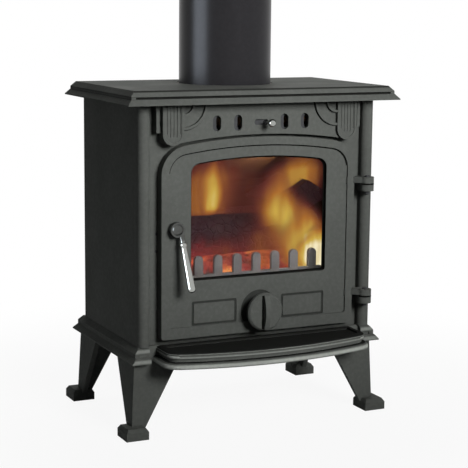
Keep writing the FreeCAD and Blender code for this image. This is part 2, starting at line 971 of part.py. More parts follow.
# Back plate with the spare rear outlet and its cover
outlet_z = z_lid - S.outlet_drop
cover_screw = S.cover_radius - S.cover_screw_in
rear_half = inner_half - S.brick_thick - S.rear_brick_inset
back = new_body("back_plate")
pad(
    back, "plate", "XZ", y_back, S.wall,
    [box(-half_width, z_floor, half_width, z_lid), Circle(ZERO, outlet_z, S.outlet_radius)],
)
pad(
    back, "brick_ledge", "XZ", y_back_inner, S.brick_thick,
    [box(-rear_half, grate_z - S.ledge_thick, rear_half, grate_z)],
)
pocket(
    back, "cover_holes", "XZ", y_back_inner, S.wall,
    [Circle(side * cover_screw, outlet_z, S.bolt_radius) for side in (-1, 1)],
)
pieces.append(back)
cover = new_body("outlet_cover", 0, y_back, outlet_z)
spigot = S.outlet_radius - S.cover_fit
spin(
    cover, "disc", "XY",
    [[(0, -S.cover_spigot), (spigot, -S.cover_spigot), (spigot, 0), (S.cover_radius, 0),
      (S.cover_radius, S.cover_thick - S.cover_chamfer),
      (S.cover_radius - S.cover_chamfer, S.cover_thick), (0, S.cover_thick)]],
)
pocket(
    cover, "screw_holes", "XZ", 0, S.cover_thick,
    [Circle(side * cover_screw, 0, hole) for side in (-1, 1)],
)
pieces.append(cover)
pieces.append(
    bolts(
        "outlet_cover_screws",
        [Spot(side * cover_screw, y_back + S.cover_thick, outlet_z) for side in (-1, 1)],
        "-Y", S.cover_thick + S.wall,
    )
)


# Front frame: recessed plate round the doorway, half-round corner columns, hinge lugs
def door_outline(inset, foot):
    return arched(
        door_half - inset, door_z0 + inset, door_z1 - inset,
        S.door_arch - inset, S.door_corner - inset, foot,
    )


header_half = column_inner - S.header_inset
pilaster_x = header_half - S.pilaster_inset
header_screw_z = slot_z + S.header_screw_rise
frame = new_body("front_frame")
pad(
    frame, "plate", "XZ", y_frame_back, S.frame_plate,
    [
        box(-column_centre, z_floor, column_centre, z_lid),
        door_outline(S.doorway_lap, S.doorway_foot),
        level_slot(ZERO, slot_z, S.air_gap_width, S.air_gap_height),
    ]
    + [Circle(side * pilaster_x, header_screw_z, hole) for side in (-1, 1)],
)


def column_outline(side):
    x0 = column_inner if side > 0 else -half_width
    x1 = half_width if side > 0 else -column_inner
    return [(x0, y_front, HALF), (x1, y_front), (x1, y_frame_back), (x0, y_frame_back)]


def lug_outline():
    x0 = hinge_x - S.knuckle_radius
    x1 = hinge_x + S.knuckle_radius
    return [
        (x0, hinge_y, HALF), (x1, hinge_y), (x1, y_front), (x0 + S.lug_step, y_front),
        (x0, y_front - S.lug_shoulder),
    ]


for side_name, side in SIDES:
    pad(frame, f"{side_name}_column", "XY", z_floor, S.body_height, [column_outline(side)])
for name, level in hinge_levels.items():
    foot = level - S.seat_gap - S.lug_height
    pad(frame, f"{name}_lug", "XY", foot, S.lug_height, [lug_outline()])
for name, level in hinge_levels.items():
    pocket(
        frame, f"{name}_pin_hole", "XY", level, S.lug_height + S.cut_over,
        [Circle(hinge_x, hinge_y, S.pin_radius + S.pin_seat)],
    )
keeper_x1 = S.doorway_lap - door_half - S.keeper_inset
keeper_x0 = keeper_x1 - S.keeper_width
keeper_screw_x = (keeper_x0 + keeper_x1) / 2
keeper_top = latch_z - S.keeper_drop
keeper_foot = keeper_top - S.keeper_height
keeper_middle = (keeper_top + keeper_foot) / 2
keeper_screws = [(keeper_screw_x, keeper_middle + end * S.keeper_screw_pitch / 2) for end in (-1, 1)]
pocket(
    frame, "keeper_screw_holes", "XZ", y_frame, S.frame_plate,
    [Circle(x, z, S.screw_radius) for x, z in keeper_screws],
)
pieces.append(frame)
for name, level in hinge_levels.items():
    pin = new_body(f"hinge_pin_{name}", hinge_x, hinge_y, level)
    tip = S.pin_radius - S.pin_chamfer
    foot = -(S.lug_height + S.pin_below)
    height = S.knuckle_height + S.pin_above
    spin(
        pin, "shape", "XZ",
        [[(0, foot), (tip, foot), (S.pin_radius, foot + S.pin_chamfer),
          (S.pin_radius, height - S.pin_chamfer), (tip, height), (0, height)]],
    )
    pieces.append(pin)

# Latch keeper: a finger behind the left jamb that the tongue turns behind
keeper_back = y_frame_back + S.keeper_thick
keeper = new_body("latch_keeper")
pad(
    keeper, "plate", "XZ", keeper_back, S.keeper_thick,
    [[(keeper_x0, keeper_middle - S.keeper_reach), (keeper_x1, keeper_middle - S.keeper_reach),
      (keeper_x1, keeper_foot), (latch_x, keeper_foot), (latch_x, keeper_top),
      (keeper_x1, keeper_top), (keeper_x1, keeper_middle + S.keeper_reach),
      (keeper_x0, keeper_middle + S.keeper_reach)]],
)
pocket(
    keeper, "screw_holes", "XZ", y_frame_back, S.keeper_thick,
    [Circle(x, z, S.screw_radius + S.bolt_clearance) for x, z in keeper_screws],
)
pieces.append(keeper)
pieces.append(
    bolts(
        "latch_keeper_screws", [Spot(x, keeper_back, z) for x, z in keeper_screws],
        "-Y", S.keeper_thick + S.frame_plate - S.bolt_end_gap,
        S.screw_radius, S.screw_head, S.screw_head_height,
    )
)

# Header: arched casting over the door with pilasters, quarter fans and the air slots
FLUTES = 5
CROWN_MEETS = math.radians(30)
pil_round = S.pilaster_width / 2
pil_left = pilaster_x - pil_round
pil_right = pilaster_x + pil_round
pil_z = z_lid - S.pilaster_drop + pil_round
meet_x = pilaster_x - pil_round * math.sin(CROWN_MEETS)
meet_z = pil_z - pil_round * math.cos(CROWN_MEETS)
crown_rise = door_z1 + S.header_arch_gap - meet_z
crown_radius = (meet_x * meet_x + crown_rise * crown_rise) / (2 * crown_rise)
strip_z = z_lid - S.header_strip_drop
header_top = z_lid - S.fit
slide_half = S.slide_length / 2 + S.slide_offset + S.slide_travel
slide_z0 = slot_z - S.slide_height / 2
slide_z1 = slot_z + S.slide_height / 2
slot_spots = [side * (S.slot_inner + k * S.slot_pitch) for side in (-1, 1) for k in (0, 1)]
stem_slot = S.slide_travel + 2 * (S.slide_stem_radius + S.slide_stem_clearance)
header = new_body("header")
pad(
    header, "block", "XZ", y_frame, S.header_proud,
    [[(-header_half, strip_z), (-pil_right, strip_z), (-pil_right, pil_z, pil_round),
      (-meet_x, meet_z, -crown_radius), (meet_x, meet_z, pil_round), (pil_right, pil_z),
      (pil_right, strip_z), (header_half, strip_z), (header_half, header_top),
      (-header_half, header_top)]],
)
pocket(
    header, "slide_chamber", "XZ", y_frame, S.header_proud - S.header_skin,
    [box(-slide_half, slide_z0 - S.seat_gap, slide_half, slide_z1 + S.seat_gap)], along=True,
)
pocket(
    header, "air_slots", "XZ", y_header, S.header_skin,
    [upright_slot(x, slot_z, S.slot_width, S.slot_height) for x in slot_spots]
    + [level_slot(ZERO, slot_z, stem_slot, S.slide_slot_height)],
)
pocket(
    header, "strip_gaps", "XZ", y_header, S.strip_gap_depth,
    [box(pil_right, strip_z, pil_right + S.strip_gap, header_top),
     box(-pil_right - S.strip_gap, strip_z, -pil_right, header_top)],
)
shaft = pad(
    header, "pilaster", "XZ", y_header, S.pilaster_proud,
    [[(pil_left, pil_z, HALF), (pil_right, pil_z), (pil_right, header_top), (pil_left, header_top)]],
)
mirror(header, "pilaster_pair", [shaft])


def flute(x, foot):
    side = S.flute_width / 2
    return [(x - side, foot, HALF), (x + side, foot), (x + side, header_top), (x - side, header_top)]


field_round = pil_round - S.pilaster_rim
flute_pitch = 2 * field_round / FLUTES
y_field = y_header - S.pilaster_proud + S.pilaster_sunk
for side_name, side in SIDES:
    middle = side * pilaster_x
    x0 = middle - field_round
    x1 = middle + field_round
    pocket(
        header, f"{side_name}_field", "XZ", y_header - S.pilaster_proud, S.pilaster_sunk,
        [[(x0, pil_z, HALF), (x1, pil_z), (x1, header_top), (x0, header_top)]],
    )
    flutes = []
    for k in range(FLUTES):
        step = k - (FLUTES - 1) / 2
        outermost = k in (0, FLUTES - 1)
        foot = pil_z + S.flute_outer_rise if outermost else pil_z - S.flute_inner_drop
        flutes.append(flute(middle + step * flute_pitch, foot))
    pocket(header, f"{side_name}_flutes", "XZ", y_field, S.flute_depth, flutes)


def quarter_ring(outer, inner):
    """Quarter ring hanging below the top edge, running in from the right pilaster."""
    return [
        (pil_left - outer, header_top, outer), (pil_left, header_top - outer),
        (pil_left, header_top - inner, -inner), (pil_left - inner, header_top),
    ]


fan_rings = []
for name, outer in (("outer_fan", S.fan_radius), ("inner_fan", S.fan_inner)):
    ring = quarter_ring(outer, outer - S.fan_bead)
    fan_rings.append(pad(header, name, "XZ", y_header, S.fan_proud, [ring]))
mirror(header, "fan_pair", fan_rings)
fan_field = pocket(
    header, "fan_field", "XZ", y_header, S.fan_sunk,
    [quarter_ring(S.fan_radius - S.fan_bead, S.fan_inner)],
)
hub = S.fan_inner - S.fan_bead
fan_hub = pocket(
    header, "fan_hub", "XZ", y_header, S.fan_sunk,
    [[(pil_left - hub, header_top, hub), (pil_left, header_top - hub), (pil_left, header_top)]],
)
mirror(header, "fan_fields", [fan_field, fan_hub])
pocket(
    header, "screw_holes", "XZ", y_frame, S.header_screw_bite + S.bolt_end_gap,
    [Circle(side * pilaster_x, header_screw_z, S.bolt_radius) for side in (-1, 1)], along=True,
)
pieces.append(header)
pieces.append(
    bolts(
        "header_screws", [Spot(side * pilaster_x, y_frame_back, header_screw_z) for side in (-1, 1)],
        "-Y", S.frame_plate + S.header_screw_bite,
    )
)

# Upper air slide: slotted plate, stem and ball
slide_y0 = y_header + S.header_skin + S.seat_gap
slide_x0 = S.slide_offset - S.slide_length / 2
slide = new_body("air_slide_plate")
pad(
    slide, "plate", "XZ", slide_y0 + S.slide_thick, S.slide_thick,
    [box(slide_x0, slide_z0, slide_x0 + S.slide_length, slide_z1)]
    + [upright_slot(x + S.slide_offset, slot_z, S.slot_width, S.slot_height) for x in slot_spots],
)
pocket(
    slide, "stem_hole", "XZ", slide_y0, S.slide_thick,
    [Circle(S.slide_offset, slot_z, S.slide_stem_spigot)],
)
pieces.append(slide)
stem = new_body("air_slide_stem", S.slide_offset, slide_y0, slot_z)
stem_tip = -(S.slide_stem_reach + S.header_skin)
spin(
    stem, "rod", "XY",
    [[(0, stem_tip), (S.slide_stem_radius, stem_tip), (S.slide_stem_radius, 0),
      (S.slide_stem_spigot, 0), (S.slide_stem_spigot, S.slide_thick), (0, S.slide_thick)]],
)
pieces.append(stem)
ball_y = slide_y0 + stem_tip - S.slide_ball_seat
ball = new_body("air_slide_knob", S.slide_offset, ball_y, slot_z)
ball_flat = root(S.slide_ball * S.slide_ball - S.slide_ball_seat * S.slide_ball_seat)
spin(
    ball, "ball", "XY",
    [[(0, -S.slide_ball, S.slide_ball), (S.slide_ball, 0, S.slide_ball),
      (ball_flat, S.slide_ball_seat), (0, S.slide_ball_seat)]],
)
pieces.append(ball)


# Top plate with the flue hole
def top_outline(inset):
    x = half_width + S.top_side - inset
    return [box(-x, y_front - S.top_front + inset, x, y_back + S.top_back - inset)]


COLLAR_BOLT_TURNS = [math.radians(turn) for turn in (37, 143, 217, 323)]
collar_bore = S.flue_radius + S.collar_gap
flue_hole = collar_bore + S.seal_width
collar_bolt_circle = S.collar_flange - S.collar_bolt_in
collar_bolts = [
    (collar_bolt_circle * math.cos(turn), collar_bolt_circle * math.sin(turn))
    for turn in COLLAR_BOLT_TURNS
]
collar_bolt_bite = S.top_skin - S.collar_bolt_cover
top = new_body("top_plate")
moulding(top, z_lid, S.top_height, top_outline)
pocket(
    top, "hollow", "XY", z_lid, S.top_height - S.top_skin,
    [box(S.top_rim - half_width, y_front + S.top_rim, half_width - S.top_rim, y_back - S.top_rear_rim)],
    along=True,
)
pocket(
    top, "collar_room", "XY", z_lid, S.top_height - S.top_skin,
    [Circle(ZERO, flue_y, S.collar_flange + S.cover_fit)], along=True,
)
pocket(top, "flue_hole", "XY", z_top, S.top_height, [Circle(ZERO, flue_y, flue_hole)])
pocket(
    top, "rod_holes", "XY", z_lid, S.rod_grip + S.bolt_end_gap,
    [Circle(x, y, S.rod_radius) for x, y in rod_spots], along=True,
)
pocket(
    top, "collar_holes", "XY", z_skin, collar_bolt_bite,
    [Circle(x, flue_y + y, S.bolt_radius) for x, y in collar_bolts], along=True,
)
pieces.append(top)
pieces.append(
    bolts(
        "tie_rods", [Spot(x, y, S.leg_height + S.rod_sink) for x, y in rod_spots],
        "+Z", S.base_height - S.rod_sink + S.body_height + S.rod_grip,
        S.rod_radius, S.rod_head, S.rod_head_height,
    )
)

# Flue collar under the top plate, seal ring and pipe
collar_outer = collar_bore + S.collar_wall
ledge_z = S.collar_ledge - S.collar_depth
collar = new_body("flue_collar", 0, flue_y, z_skin)
spin(
    collar, "ring", "XZ",
    [[(collar_bore, 0), (collar_bore, ledge_z), (collar_bore - S.collar_ledge, ledge_z),
      (collar_bore - S.collar_ledge, -S.collar_depth), (collar_outer, -S.collar_depth),
      (collar_outer, -S.collar_flange_thick), (S.collar_flange, -S.collar_flange_thick),
      (S.collar_flange, 0)]],
)
pocket(
    collar, "bolt_holes", "XY", 0, S.collar_flange_thick,
    [Circle(x, y, hole) for x, y in collar_bolts],
)
pieces.append(collar)
pieces.append(
    bolts(
        "flue_collar_bolts",
        [Spot(x, flue_y + y, z_skin - S.collar_flange_thick) for x, y in collar_bolts],
        "+Z", S.collar_flange_thick + collar_bolt_bite - S.fit,
    )
)
seal = new_body("flue_seal", 0, flue_y, z_skin)
spin(
    seal, "ring", "XZ",
    [box(S.flue_radius + S.fit, ZERO, flue_hole - S.fit, S.top_skin - S.seal_sunk)],
)
pieces.append(seal)
pipe = new_body("flue_pipe", 0, flue_y, z_skin + ledge_z)
spin(pipe, "tube", "XZ", [box(S.flue_radius - S.flue_wall, ZERO, S.flue_radius, S.flue_length)])
pieces.append(pipe)

# Fire bricks and baffle
brick_in = inner_half - S.brick_thick
brick_top = baffle_rear - S.brick_gap
brick_shoulder = brick_top - S.brick_chamfer
for side_name, side in SIDES:
    far = side * (inner_half - S.fit)
    near = side * brick_in
    body = new_body(f"fire_brick_{side_name}")
    pad(
        body, "slab", "XZ", ledge_y1 - S.fit, ledge_y1 - ledge_y0 - 2 * S.fit,
        [[(far, grate_z), (near, grate_z), (near, brick_shoulder),
          (near + side * S.brick_chamfer, brick_top), (far, brick_top)]],
    )
    pieces.append(body)
rear_y0 = y_back_inner - S.brick_thick
rear_y1 = y_back_inner - S.fit
rear_brick = new_body("fire_brick_rear")
pad(
    rear_brick, "slab", "YZ", -rear_half, 2 * rear_half,
    [[(rear_y0, grate_z), (rear_y1, grate_z), (rear_y1, brick_top),
      (rear_y0 + S.brick_chamfer, brick_top), (rear_y0, brick_shoulder)]],
)
pieces.append(rear_brick)
baffle = new_body("baffle_plate")
pad(
    baffle, "plate", "YZ", -baffle_half, 2 * baffle_half,
    [sloping(baffle_y0, baffle_y1, ZERO, S.baffle_thick)],
)
pieces.append(baffle)

# Grate, log guard and ash pan
GRATE_SLOTS = 13
GUARD_FINGERS = 8
grate_half = brick_in - S.grate_gap
grate_y0 = ledge_y0 - S.grate_front
grate_y1 = rear_y0 - S.grate_gap
grate_pitch = S.grate_bar + S.grate_slot
slot_y0 = grate_y0 + S.grate_slot_front
slot_y1 = grate_y1 - S.grate_slot_rear
grate_slots = []
for k in range(GRATE_SLOTS):
    middle = (k - (GRATE_SLOTS - 1) / 2) * grate_pitch
    grate_slots.append(upright_slot(middle, (slot_y0 + slot_y1) / 2, S.grate_slot, slot_y1 - slot_y0))
grate = new_body("fire_grate")
pad(
    grate, "plate", "XY", grate_z, S.grate_thick,
    [box(-grate_half, grate_y0, grate_half, grate_y1)],
)
pocket(grate, "slots", "XY", grate_top, S.grate_thick, grate_slots)
pieces.append(grate)
finger_round = S.guard_finger / 2
finger_z = grate_top + S.guard_height - finger_round
guard_z = grate_top + S.guard_foot
guard_half = S.guard_pitch * GUARD_FINGERS / 2
guard_y = grate_y0 + S.guard_back
comb = [(-guard_half, grate_top), (guard_half, grate_top), (guard_half, guard_z)]
for k in range(GUARD_FINGERS):
    x = S.guard_pitch * ((GUARD_FINGERS - 1) / 2 - k)
    comb += [
        (x + finger_round, guard_z), (x + finger_round, finger_z, HALF),
        (x - finger_round, finger_z), (x - finger_round, guard_z),
    ]
comb.append((-guard_half, guard_z))
guard = new_body("log_guard")
pad(guard, "comb", "XZ", guard_y, S.guard_thick, [comb])
pieces.append(guard)
pan_x = brick_in - S.pan_side_gap
pan_y0 = y_frame_back + S.pan_front_gap
pan_y1 = y_back_inner - S.pan_rear_gap
pan_z1 = z_floor + S.pan_height
pan_in = pan_x - S.pan_wall
pan = new_body("ash_pan")
pad(pan, "box", "XY", z_floor, S.pan_height, [box(-pan_x, pan_y0, pan_x, pan_y1)])
pocket(
    pan, "inside", "XY", pan_z1, S.pan_height - S.pan_wall,
    [box(-pan_in, pan_y0 + S.pan_wall, pan_in, pan_y1 - S.pan_wall)],
)
pad(
    pan, "lip", "XY", pan_z1 - S.pan_wall, S.pan_wall,
    [box(-S.pan_lip_width / 2, pan_y0 - S.pan_lip, S.pan_lip_width / 2, pan_y0 + S.pan_wall)],
)
pieces.append(pan)

# Bed of embers with two round logs and a split log laid across them
bed_top = grate_top + S.bed_height
bed_half = brick_in - S.bed_gap
bed = new_body("ember_bed")
pad(
    bed, "heap", "XY", grate_top, S.bed_height,
    [rounded(-bed_half, guard_y + S.bed_gap, bed_half, rear_y0 - S.bed_gap, S.bed_corner)],
    -slope(S.bed_slope, S.bed_height),
)
pieces.append(bed)
log_radius = least(
    (rear_y0 - guard_y - 3 * S.log_gap) / 4, (baffle_rear - bed_top - S.log_headroom) / 2
)
log_half = brick_in - S.log_end_gap
log_z = bed_top + S.fit + log_radius
log_places = {
    "log_front": guard_y + S.log_gap + log_radius,
    "log_rear": rear_y0 - S.log_gap - log_radius,
}
for label, y in log_places.items():
    log = new_body(label, 0, y, log_z)
    bark = log_radius - S.log_bark
    spin(
        log, "trunk", "XZ",
        [[(-log_half, 0), (log_half, 0), (log_half, bark), (log_half - S.log_bark, log_radius),
          (S.log_bark - log_half, log_radius), (-log_half, bark)]],
        axis="H_Axis",
    )
    pieces.append(log)
split_y0 = log_places["log_front"] - log_radius / 2
split_y1 = log_places["log_rear"] + log_radius / 2
split_z = log_z + log_radius + S.fit
split_rise = least(S.split_height, baffle_level(split_y1) - split_z - S.split_headroom)
split_x1 = brick_in - S.bed_gap
split_x0 = split_x1 - S.split_width
split_ridge = (split_x0 + split_x1) / 2 + S.split_ridge
split = new_body("log_split")
pad(
    split, "wedge", "XZ", split_y1, split_y1 - split_y0,
    [[(split_x0, split_z + S.split_low_side), (split_ridge, split_z),
      (split_x1, split_z + S.split_high_side), (split_ridge, split_z + split_rise)]],
)
pieces.append(split)

# Door: skin with a raised rim, arched window, sunk panels, air ports and hinge knuckles
ARM_FRONT = (0.28, 0.9)
ARM_REAR = (0.1, 0.9)


def window_outline(inset, foot):
    return arched(
        window_half - inset, window_z0 + inset, window_z1 - inset,
        S.window_arch - inset, S.window_corner - inset, foot,
    )


def arm_outline():
    """Door arm in plan, running tangent into its knuckle."""
    r = S.knuckle_radius
    root_x = door_half - S.arm_root
    front_y = y_door_face + S.arm_sink
    back_y = y_door_back - S.arm_back
    return [
        (root_x, front_y), (door_half - S.arm_shoulder, front_y),
        (hinge_x - r * ARM_FRONT[0], hinge_y - r * ARM_FRONT[1]),
        (hinge_x + r * ARM_REAR[0], hinge_y + r * ARM_REAR[1]),
        (door_half + S.arm_tail, back_y), (root_x, back_y),
    ]


PORT_TURNS = (45, 135, 225, 315)
SHUTTER_LEAD = 20


def ports(level, lead):
    """Ring of air ports round a centre at `level`, turned on by `lead` degrees."""
    made = []
    for turn in PORT_TURNS:
        way = math.radians(turn + lead)
        made.append(
            Circle(S.port_circle * math.cos(way), level + S.port_circle * math.sin(way), S.port_radius)
        )
    return made


door = new_body("door")
edge = door_outline(ZERO, S.door_foot_corner)
pad(door, "slab", "XZ", y_door_back, S.door_depth - S.rim_proud, [edge])
rim_inner = arched(
    door_half - S.rim_width, door_z0 + S.rim_width + S.rim_foot, door_z1 - S.rim_width,
    S.door_arch - S.rim_width, S.door_corner - S.rim_width, S.land_foot,
)
pad(door, "rim", "XZ", y_door_field, S.rim_proud, [edge, rim_inner])
for name, level in hinge_levels.items():
    pad(door, f"{name}_arm", "XY", level, S.knuckle_height, [arm_outline()])
    knuckle = Circle(hinge_x, hinge_y, S.knuckle_radius)
    pad(door, f"{name}_knuckle", "XY", level, S.knuckle_height, [knuckle])
for name, level in hinge_levels.items():
    pocket(
        door, f"{name}_pin_bore", "XY", level + S.knuckle_height, S.knuckle_height,
        [Circle(hinge_x, hinge_y, S.pin_radius + S.pin_clearance)],
    )
pocket(
    door, "inside", "XZ", y_door_back, y_door_back - y_door_inside,
    [door_outline(S.door_land, S.land_foot)], along=True,
)
pocket(door, "window", "XZ", y_door_field, S.door_skin, [window_outline(ZERO, S.window_foot)])
pocket(
    door, "rope_groove", "XZ", y_door_back, S.rope_depth,
    [door_outline(S.rope_inset, S.land_foot),
     door_outline(S.rope_inset + S.rope_width, S.rope_foot)], along=True,
)
panel_near = S.dish_radius + S.dish_margin
panel_far = door_half - S.panel_inset
panel_z0 = door_z0 + S.panel_low
panel_z1 = door_z0 + S.panel_high
for side_name, side in SIDES:
    x0 = panel_near if side > 0 else -panel_far
    x1 = panel_far if side > 0 else -panel_near
    pocket(
        door, f"{side_name}_panel", "XZ", y_door_field, S.panel_sunk,
        [rounded(x0, panel_z0, x1, panel_z1, S.panel_round),
         rounded(x0 + S.panel_line, panel_z0 + S.panel_line, x1 - S.panel_line,
                 panel_z1 - S.panel_line, S.panel_line_round)],
    )
pocket(door, "knob_dish", "XZ", y_door_field, S.dish_sunk, [Circle(ZERO, knob_z, S.dish_radius)])
pocket(
    door, "air_ports", "XZ", y_door_field, S.door_skin,
    ports(knob_z, 0) + [Circle(ZERO, knob_z, S.air_spindle_radius + S.turn_clearance)],
)
bush_tube = S.spindle_radius + S.bush_wall
pocket(
    door, "latch_hole", "XZ", y_door_face, S.door_depth,
    [Circle(latch_x, latch_z, bush_tube + S.turn_clearance)],
)
pieces.append(door)

# Door rope, glass, gasket and clips
rope = new_body("door_rope")
pad(
    rope, "ring", "XZ", y_frame - S.seat_gap, S.rope_depth + S.door_gap - S.seat_gap,
    [door_outline(S.rope_inset + S.fit, S.land_foot),
     door_outline(S.rope_inset + S.rope_width - S.fit, S.rope_foot)],
)
pieces.append(rope)
gasket = new_body("glass_gasket")
pad(
    gasket, "ring", "XZ", y_door_inside + S.gasket_thick, S.gasket_thick,
    [window_outline(-S.glass_lap, S.glass_foot), window_outline(-S.gasket_set, S.glass_foot)],
)
pieces.append(gasket)
glass_y1 = y_door_inside + S.gasket_thick + S.glass_thick
clip_y1 = glass_y1 + S.clip_thick
glass = new_body("door_glass")
pad(glass, "pane", "XZ", glass_y1, S.glass_thick, [window_outline(-S.glass_lap, S.glass_foot)])
pieces.append(glass)
glass_edge = window_half + S.glass_lap
clip_bodies = []
clip_seats = []
for side_name, side in SIDES:
    for end_name, level in (("low", window_z0 + S.clip_low), ("high", window_z1 - S.clip_high)):
        tab_x = side * (glass_edge - S.clip_lap)
        foot_x0 = side * (glass_edge + S.fit)
        foot_x1 = foot_x0 + side * S.clip_foot
        middle = (foot_x0 + foot_x1) / 2
        clip_z = level - S.clip_width / 2
        clip = new_body(f"glass_clip_{side_name}_{end_name}")
        pad(clip, "foot", "XY", clip_z, S.clip_width, [box(foot_x0, y_door_inside, foot_x1, clip_y1)])
        pad(clip, "tab", "XY", clip_z, S.clip_width, [box(tab_x, glass_y1, foot_x1, clip_y1)])
        pocket(
            clip, "screw_hole", "XZ", y_door_inside, clip_y1 - y_door_inside,
            [Circle(middle, level, S.screw_radius + S.bolt_clearance)],
        )
        clip_bodies.append(clip)
        clip_seats.append(Spot(middle, clip_y1, level))
pocket(
    door, "clip_holes", "XZ", y_door_inside, S.clip_screw_bite + S.bolt_end_gap,
    [Circle(seat.x, seat.z, S.screw_radius) for seat in clip_seats], along=True,
)
pieces.append(group("glass_clips", clip_bodies))
pieces.append(
    bolts(
        "glass_clip_screws", clip_seats, "-Y", clip_y1 - y_door_inside + S.clip_screw_bite,
        S.screw_radius, S.screw_head, S.screw_head_height,
    )
)

# Door latch: bush in the door, spindle, lever, cap, tongue and nut
bush_front = y_door_field - S.bush_thick
bush_bore = S.spindle_radius + S.turn_clearance
bush = new_body("handle_bush", latch_x, 0, latch_z)
spin(
    bush, "shape", "XY",
    [[(bush_bore, bush_front), (S.bush_radius - S.bush_chamfer, bush_front),
      (S.bush_radius, bush_front + S.bush_chamfer), (S.bush_radius, y_door_field),
      (bush_tube, y_door_field), (bush_tube, y_door_inside), (bush_bore, y_door_inside)]],
)
pieces.append(bush)
eye_back = bush_front - S.seat_gap
eye_front = eye_back - S.lever_eye_thick
tongue_y0 = keeper_back + S.keeper_gap
tongue_y1 = tongue_y0 + S.tongue_thick
spindle_end = tongue_y1 + S.spindle_tail
spindle = new_body("latch_spindle", latch_x, 0, latch_z)
spin(
    spindle, "shape", "XY",
    [[(0, eye_front), (S.spindle_radius, eye_front), (S.spindle_radius, spindle_end),
      (0, spindle_end)]],
)
pieces.append(spindle)
cap_radius = S.lever_eye - S.cap_inset
cap_arc = (cap_radius * cap_radius + S.lever_cap * S.lever_cap) / (2 * S.lever_cap)
slot_half = S.cap_slot_width / 2
cap = new_body("handle_cap", latch_x, eye_front, latch_z)
spin(cap, "dome", "XY", [[(0, -S.lever_cap, cap_arc), (cap_radius, 0), (0, 0)]])
pocket(
    cap, "slot", "XZ", -S.lever_cap, S.cap_slot_depth,
    [box(-cap_radius, -slot_half, cap_radius, slot_half)],
)
pieces.append(cap)
reach = FreeCAD.Rotation(X_AXIS, 180 - S.lever_lean.value)
reach = reach.multiply(FreeCAD.Rotation(Y_AXIS, S.lever_swing.value))
grip_axis = reach.multVec(FreeCAD.Vector(0, 0, 1))


def further(spot, amount):
    """Point `amount` further down the lever."""
    return Spot(
        spot.x + amount * grip_axis.x, spot.y + amount * grip_axis.y, spot.z + amount * grip_axis.z
    )


neck_root = Spot(latch_x + S.neck_offset, (eye_back + eye_front) / 2, latch_z - S.neck_offset)
grip_root = further(neck_root, S.lever_neck)
grip_end = further(grip_root, S.lever_grip)
lever_forms = [
    primitive(
        "Cylinder", "lever_eye", latch_x, eye_back, latch_z, TURNS["-Y"],
        Radius=S.lever_eye, Height=S.lever_eye_thick,
    ),
    primitive(
        "Cone", "lever_neck", *neck_root, reach,
        Radius1=S.neck_root_radius, Radius2=S.neck_tip_radius, Height=S.lever_neck,
    ),
    primitive("Sphere", "lever_collar", *grip_root, Radius=S.collar_bead_radius),
    primitive(
        "Cone", "lever_grip", *grip_root, reach,
        Radius1=S.grip_top_radius, Radius2=S.grip_end_radius, Height=S.lever_grip,
    ),
    primitive("Sphere", "lever_tip", *grip_end, Radius=S.grip_end_radius),
]
lever_bore = primitive(
    "Cylinder", "lever_bore", latch_x, eye_back + S.cut_over, latch_z, TURNS["-Y"],
    Radius=S.spindle_radius, Height=S.lever_eye_thick + 2 * S.cut_over,
)
pieces.append(cut("handle_lever", fuse("lever_whole", lever_forms), lever_bore))
tongue_half = S.tongue_width / 2
tongue = new_body("latch_tongue", latch_x, 0, latch_z)
tongue.Placement.Rotation = FreeCAD.Rotation(Y_AXIS, -S.tongue_back.value)
pad(
    tongue, "blade", "XZ", tongue_y1, S.tongue_thick,
    [[(tongue_half, 0, HALF), (-tongue_half, 0), (-tongue_half, -S.tongue_length),
      (tongue_half, -S.tongue_length)],
     Circle(ZERO, ZERO, S.spindle_radius)],
)
pieces.append(tongue)
nut_radius = S.spindle_radius + S.latch_nut_wall
nut = new_body("latch_nut", latch_x, tongue_y1, latch_z)
spin(
    nut, "shape", "XY",
    [[(S.spindle_radius, 0), (nut_radius, 0), (nut_radius, S.latch_nut_height - S.nut_chamfer),
      (nut_radius - S.nut_chamfer, S.latch_nut_height), (S.spindle_radius, S.latch_nut_height)]],
)
pieces.append(nut)

# Lower air control: finned knob, spindle, shutter and nut
knob_back = y_door_field - S.knob_stand
knob_front = knob_back - S.knob_thick
knob_seat = y_door_field + S.dish_sunk - S.seat_gap
socket_end = knob_front + S.knob_face
bar_half = S.knob_bar_length / 2
knob = new_body("air_knob", 0, 0, knob_z)
spin(
    knob, "disc", "XY",
    [[(S.air_spindle_radius, knob_seat), (S.air_spindle_radius, socket_end), (0, socket_end),
      (0, knob_front), (S.knob_radius - S.knob_round, knob_front),
      (S.knob_radius, knob_front + S.knob_round), (S.knob_radius, knob_back - S.knob_back_round),
      (S.knob_radius - S.knob_back_round, knob_back), (S.knob_hub, knob_back),
      (S.knob_hub, knob_seat)]],
)
pad(
    knob, "bar", "YZ", -S.knob_bar / 2, S.knob_bar,
    [[(knob_front + S.knob_bar_sink, -bar_half), (knob_front + S.knob_bar_sink, bar_half),
      (knob_front - S.knob_bar_shoulder, bar_half, S.knob_bar_bow),
      (knob_front - S.knob_bar_shoulder, -bar_half)]],
)
pieces.append(knob)
shutter_y1 = y_door_inside + S.seat_gap + S.shutter_thick
spindle_tip = shutter_y1 + S.air_spindle_tail
air_spindle = new_body("air_spindle", 0, 0, knob_z)
spin(
    air_spindle, "shape", "XY",
    [[(0, socket_end), (S.air_spindle_radius, socket_end), (S.air_spindle_radius, spindle_tip),
      (0, spindle_tip)]],
)
pieces.append(air_spindle)
shutter = new_body("air_shutter", 0, 0, knob_z)
pad(
    shutter, "disc", "XZ", shutter_y1, S.shutter_thick,
    [Circle(ZERO, ZERO, S.shutter_radius), Circle(ZERO, ZERO, S.air_spindle_radius)]
    + ports(ZERO, SHUTTER_LEAD),
)
pieces.append(shutter)
air_nut = new_body("air_shutter_nut", 0, shutter_y1, knob_z)
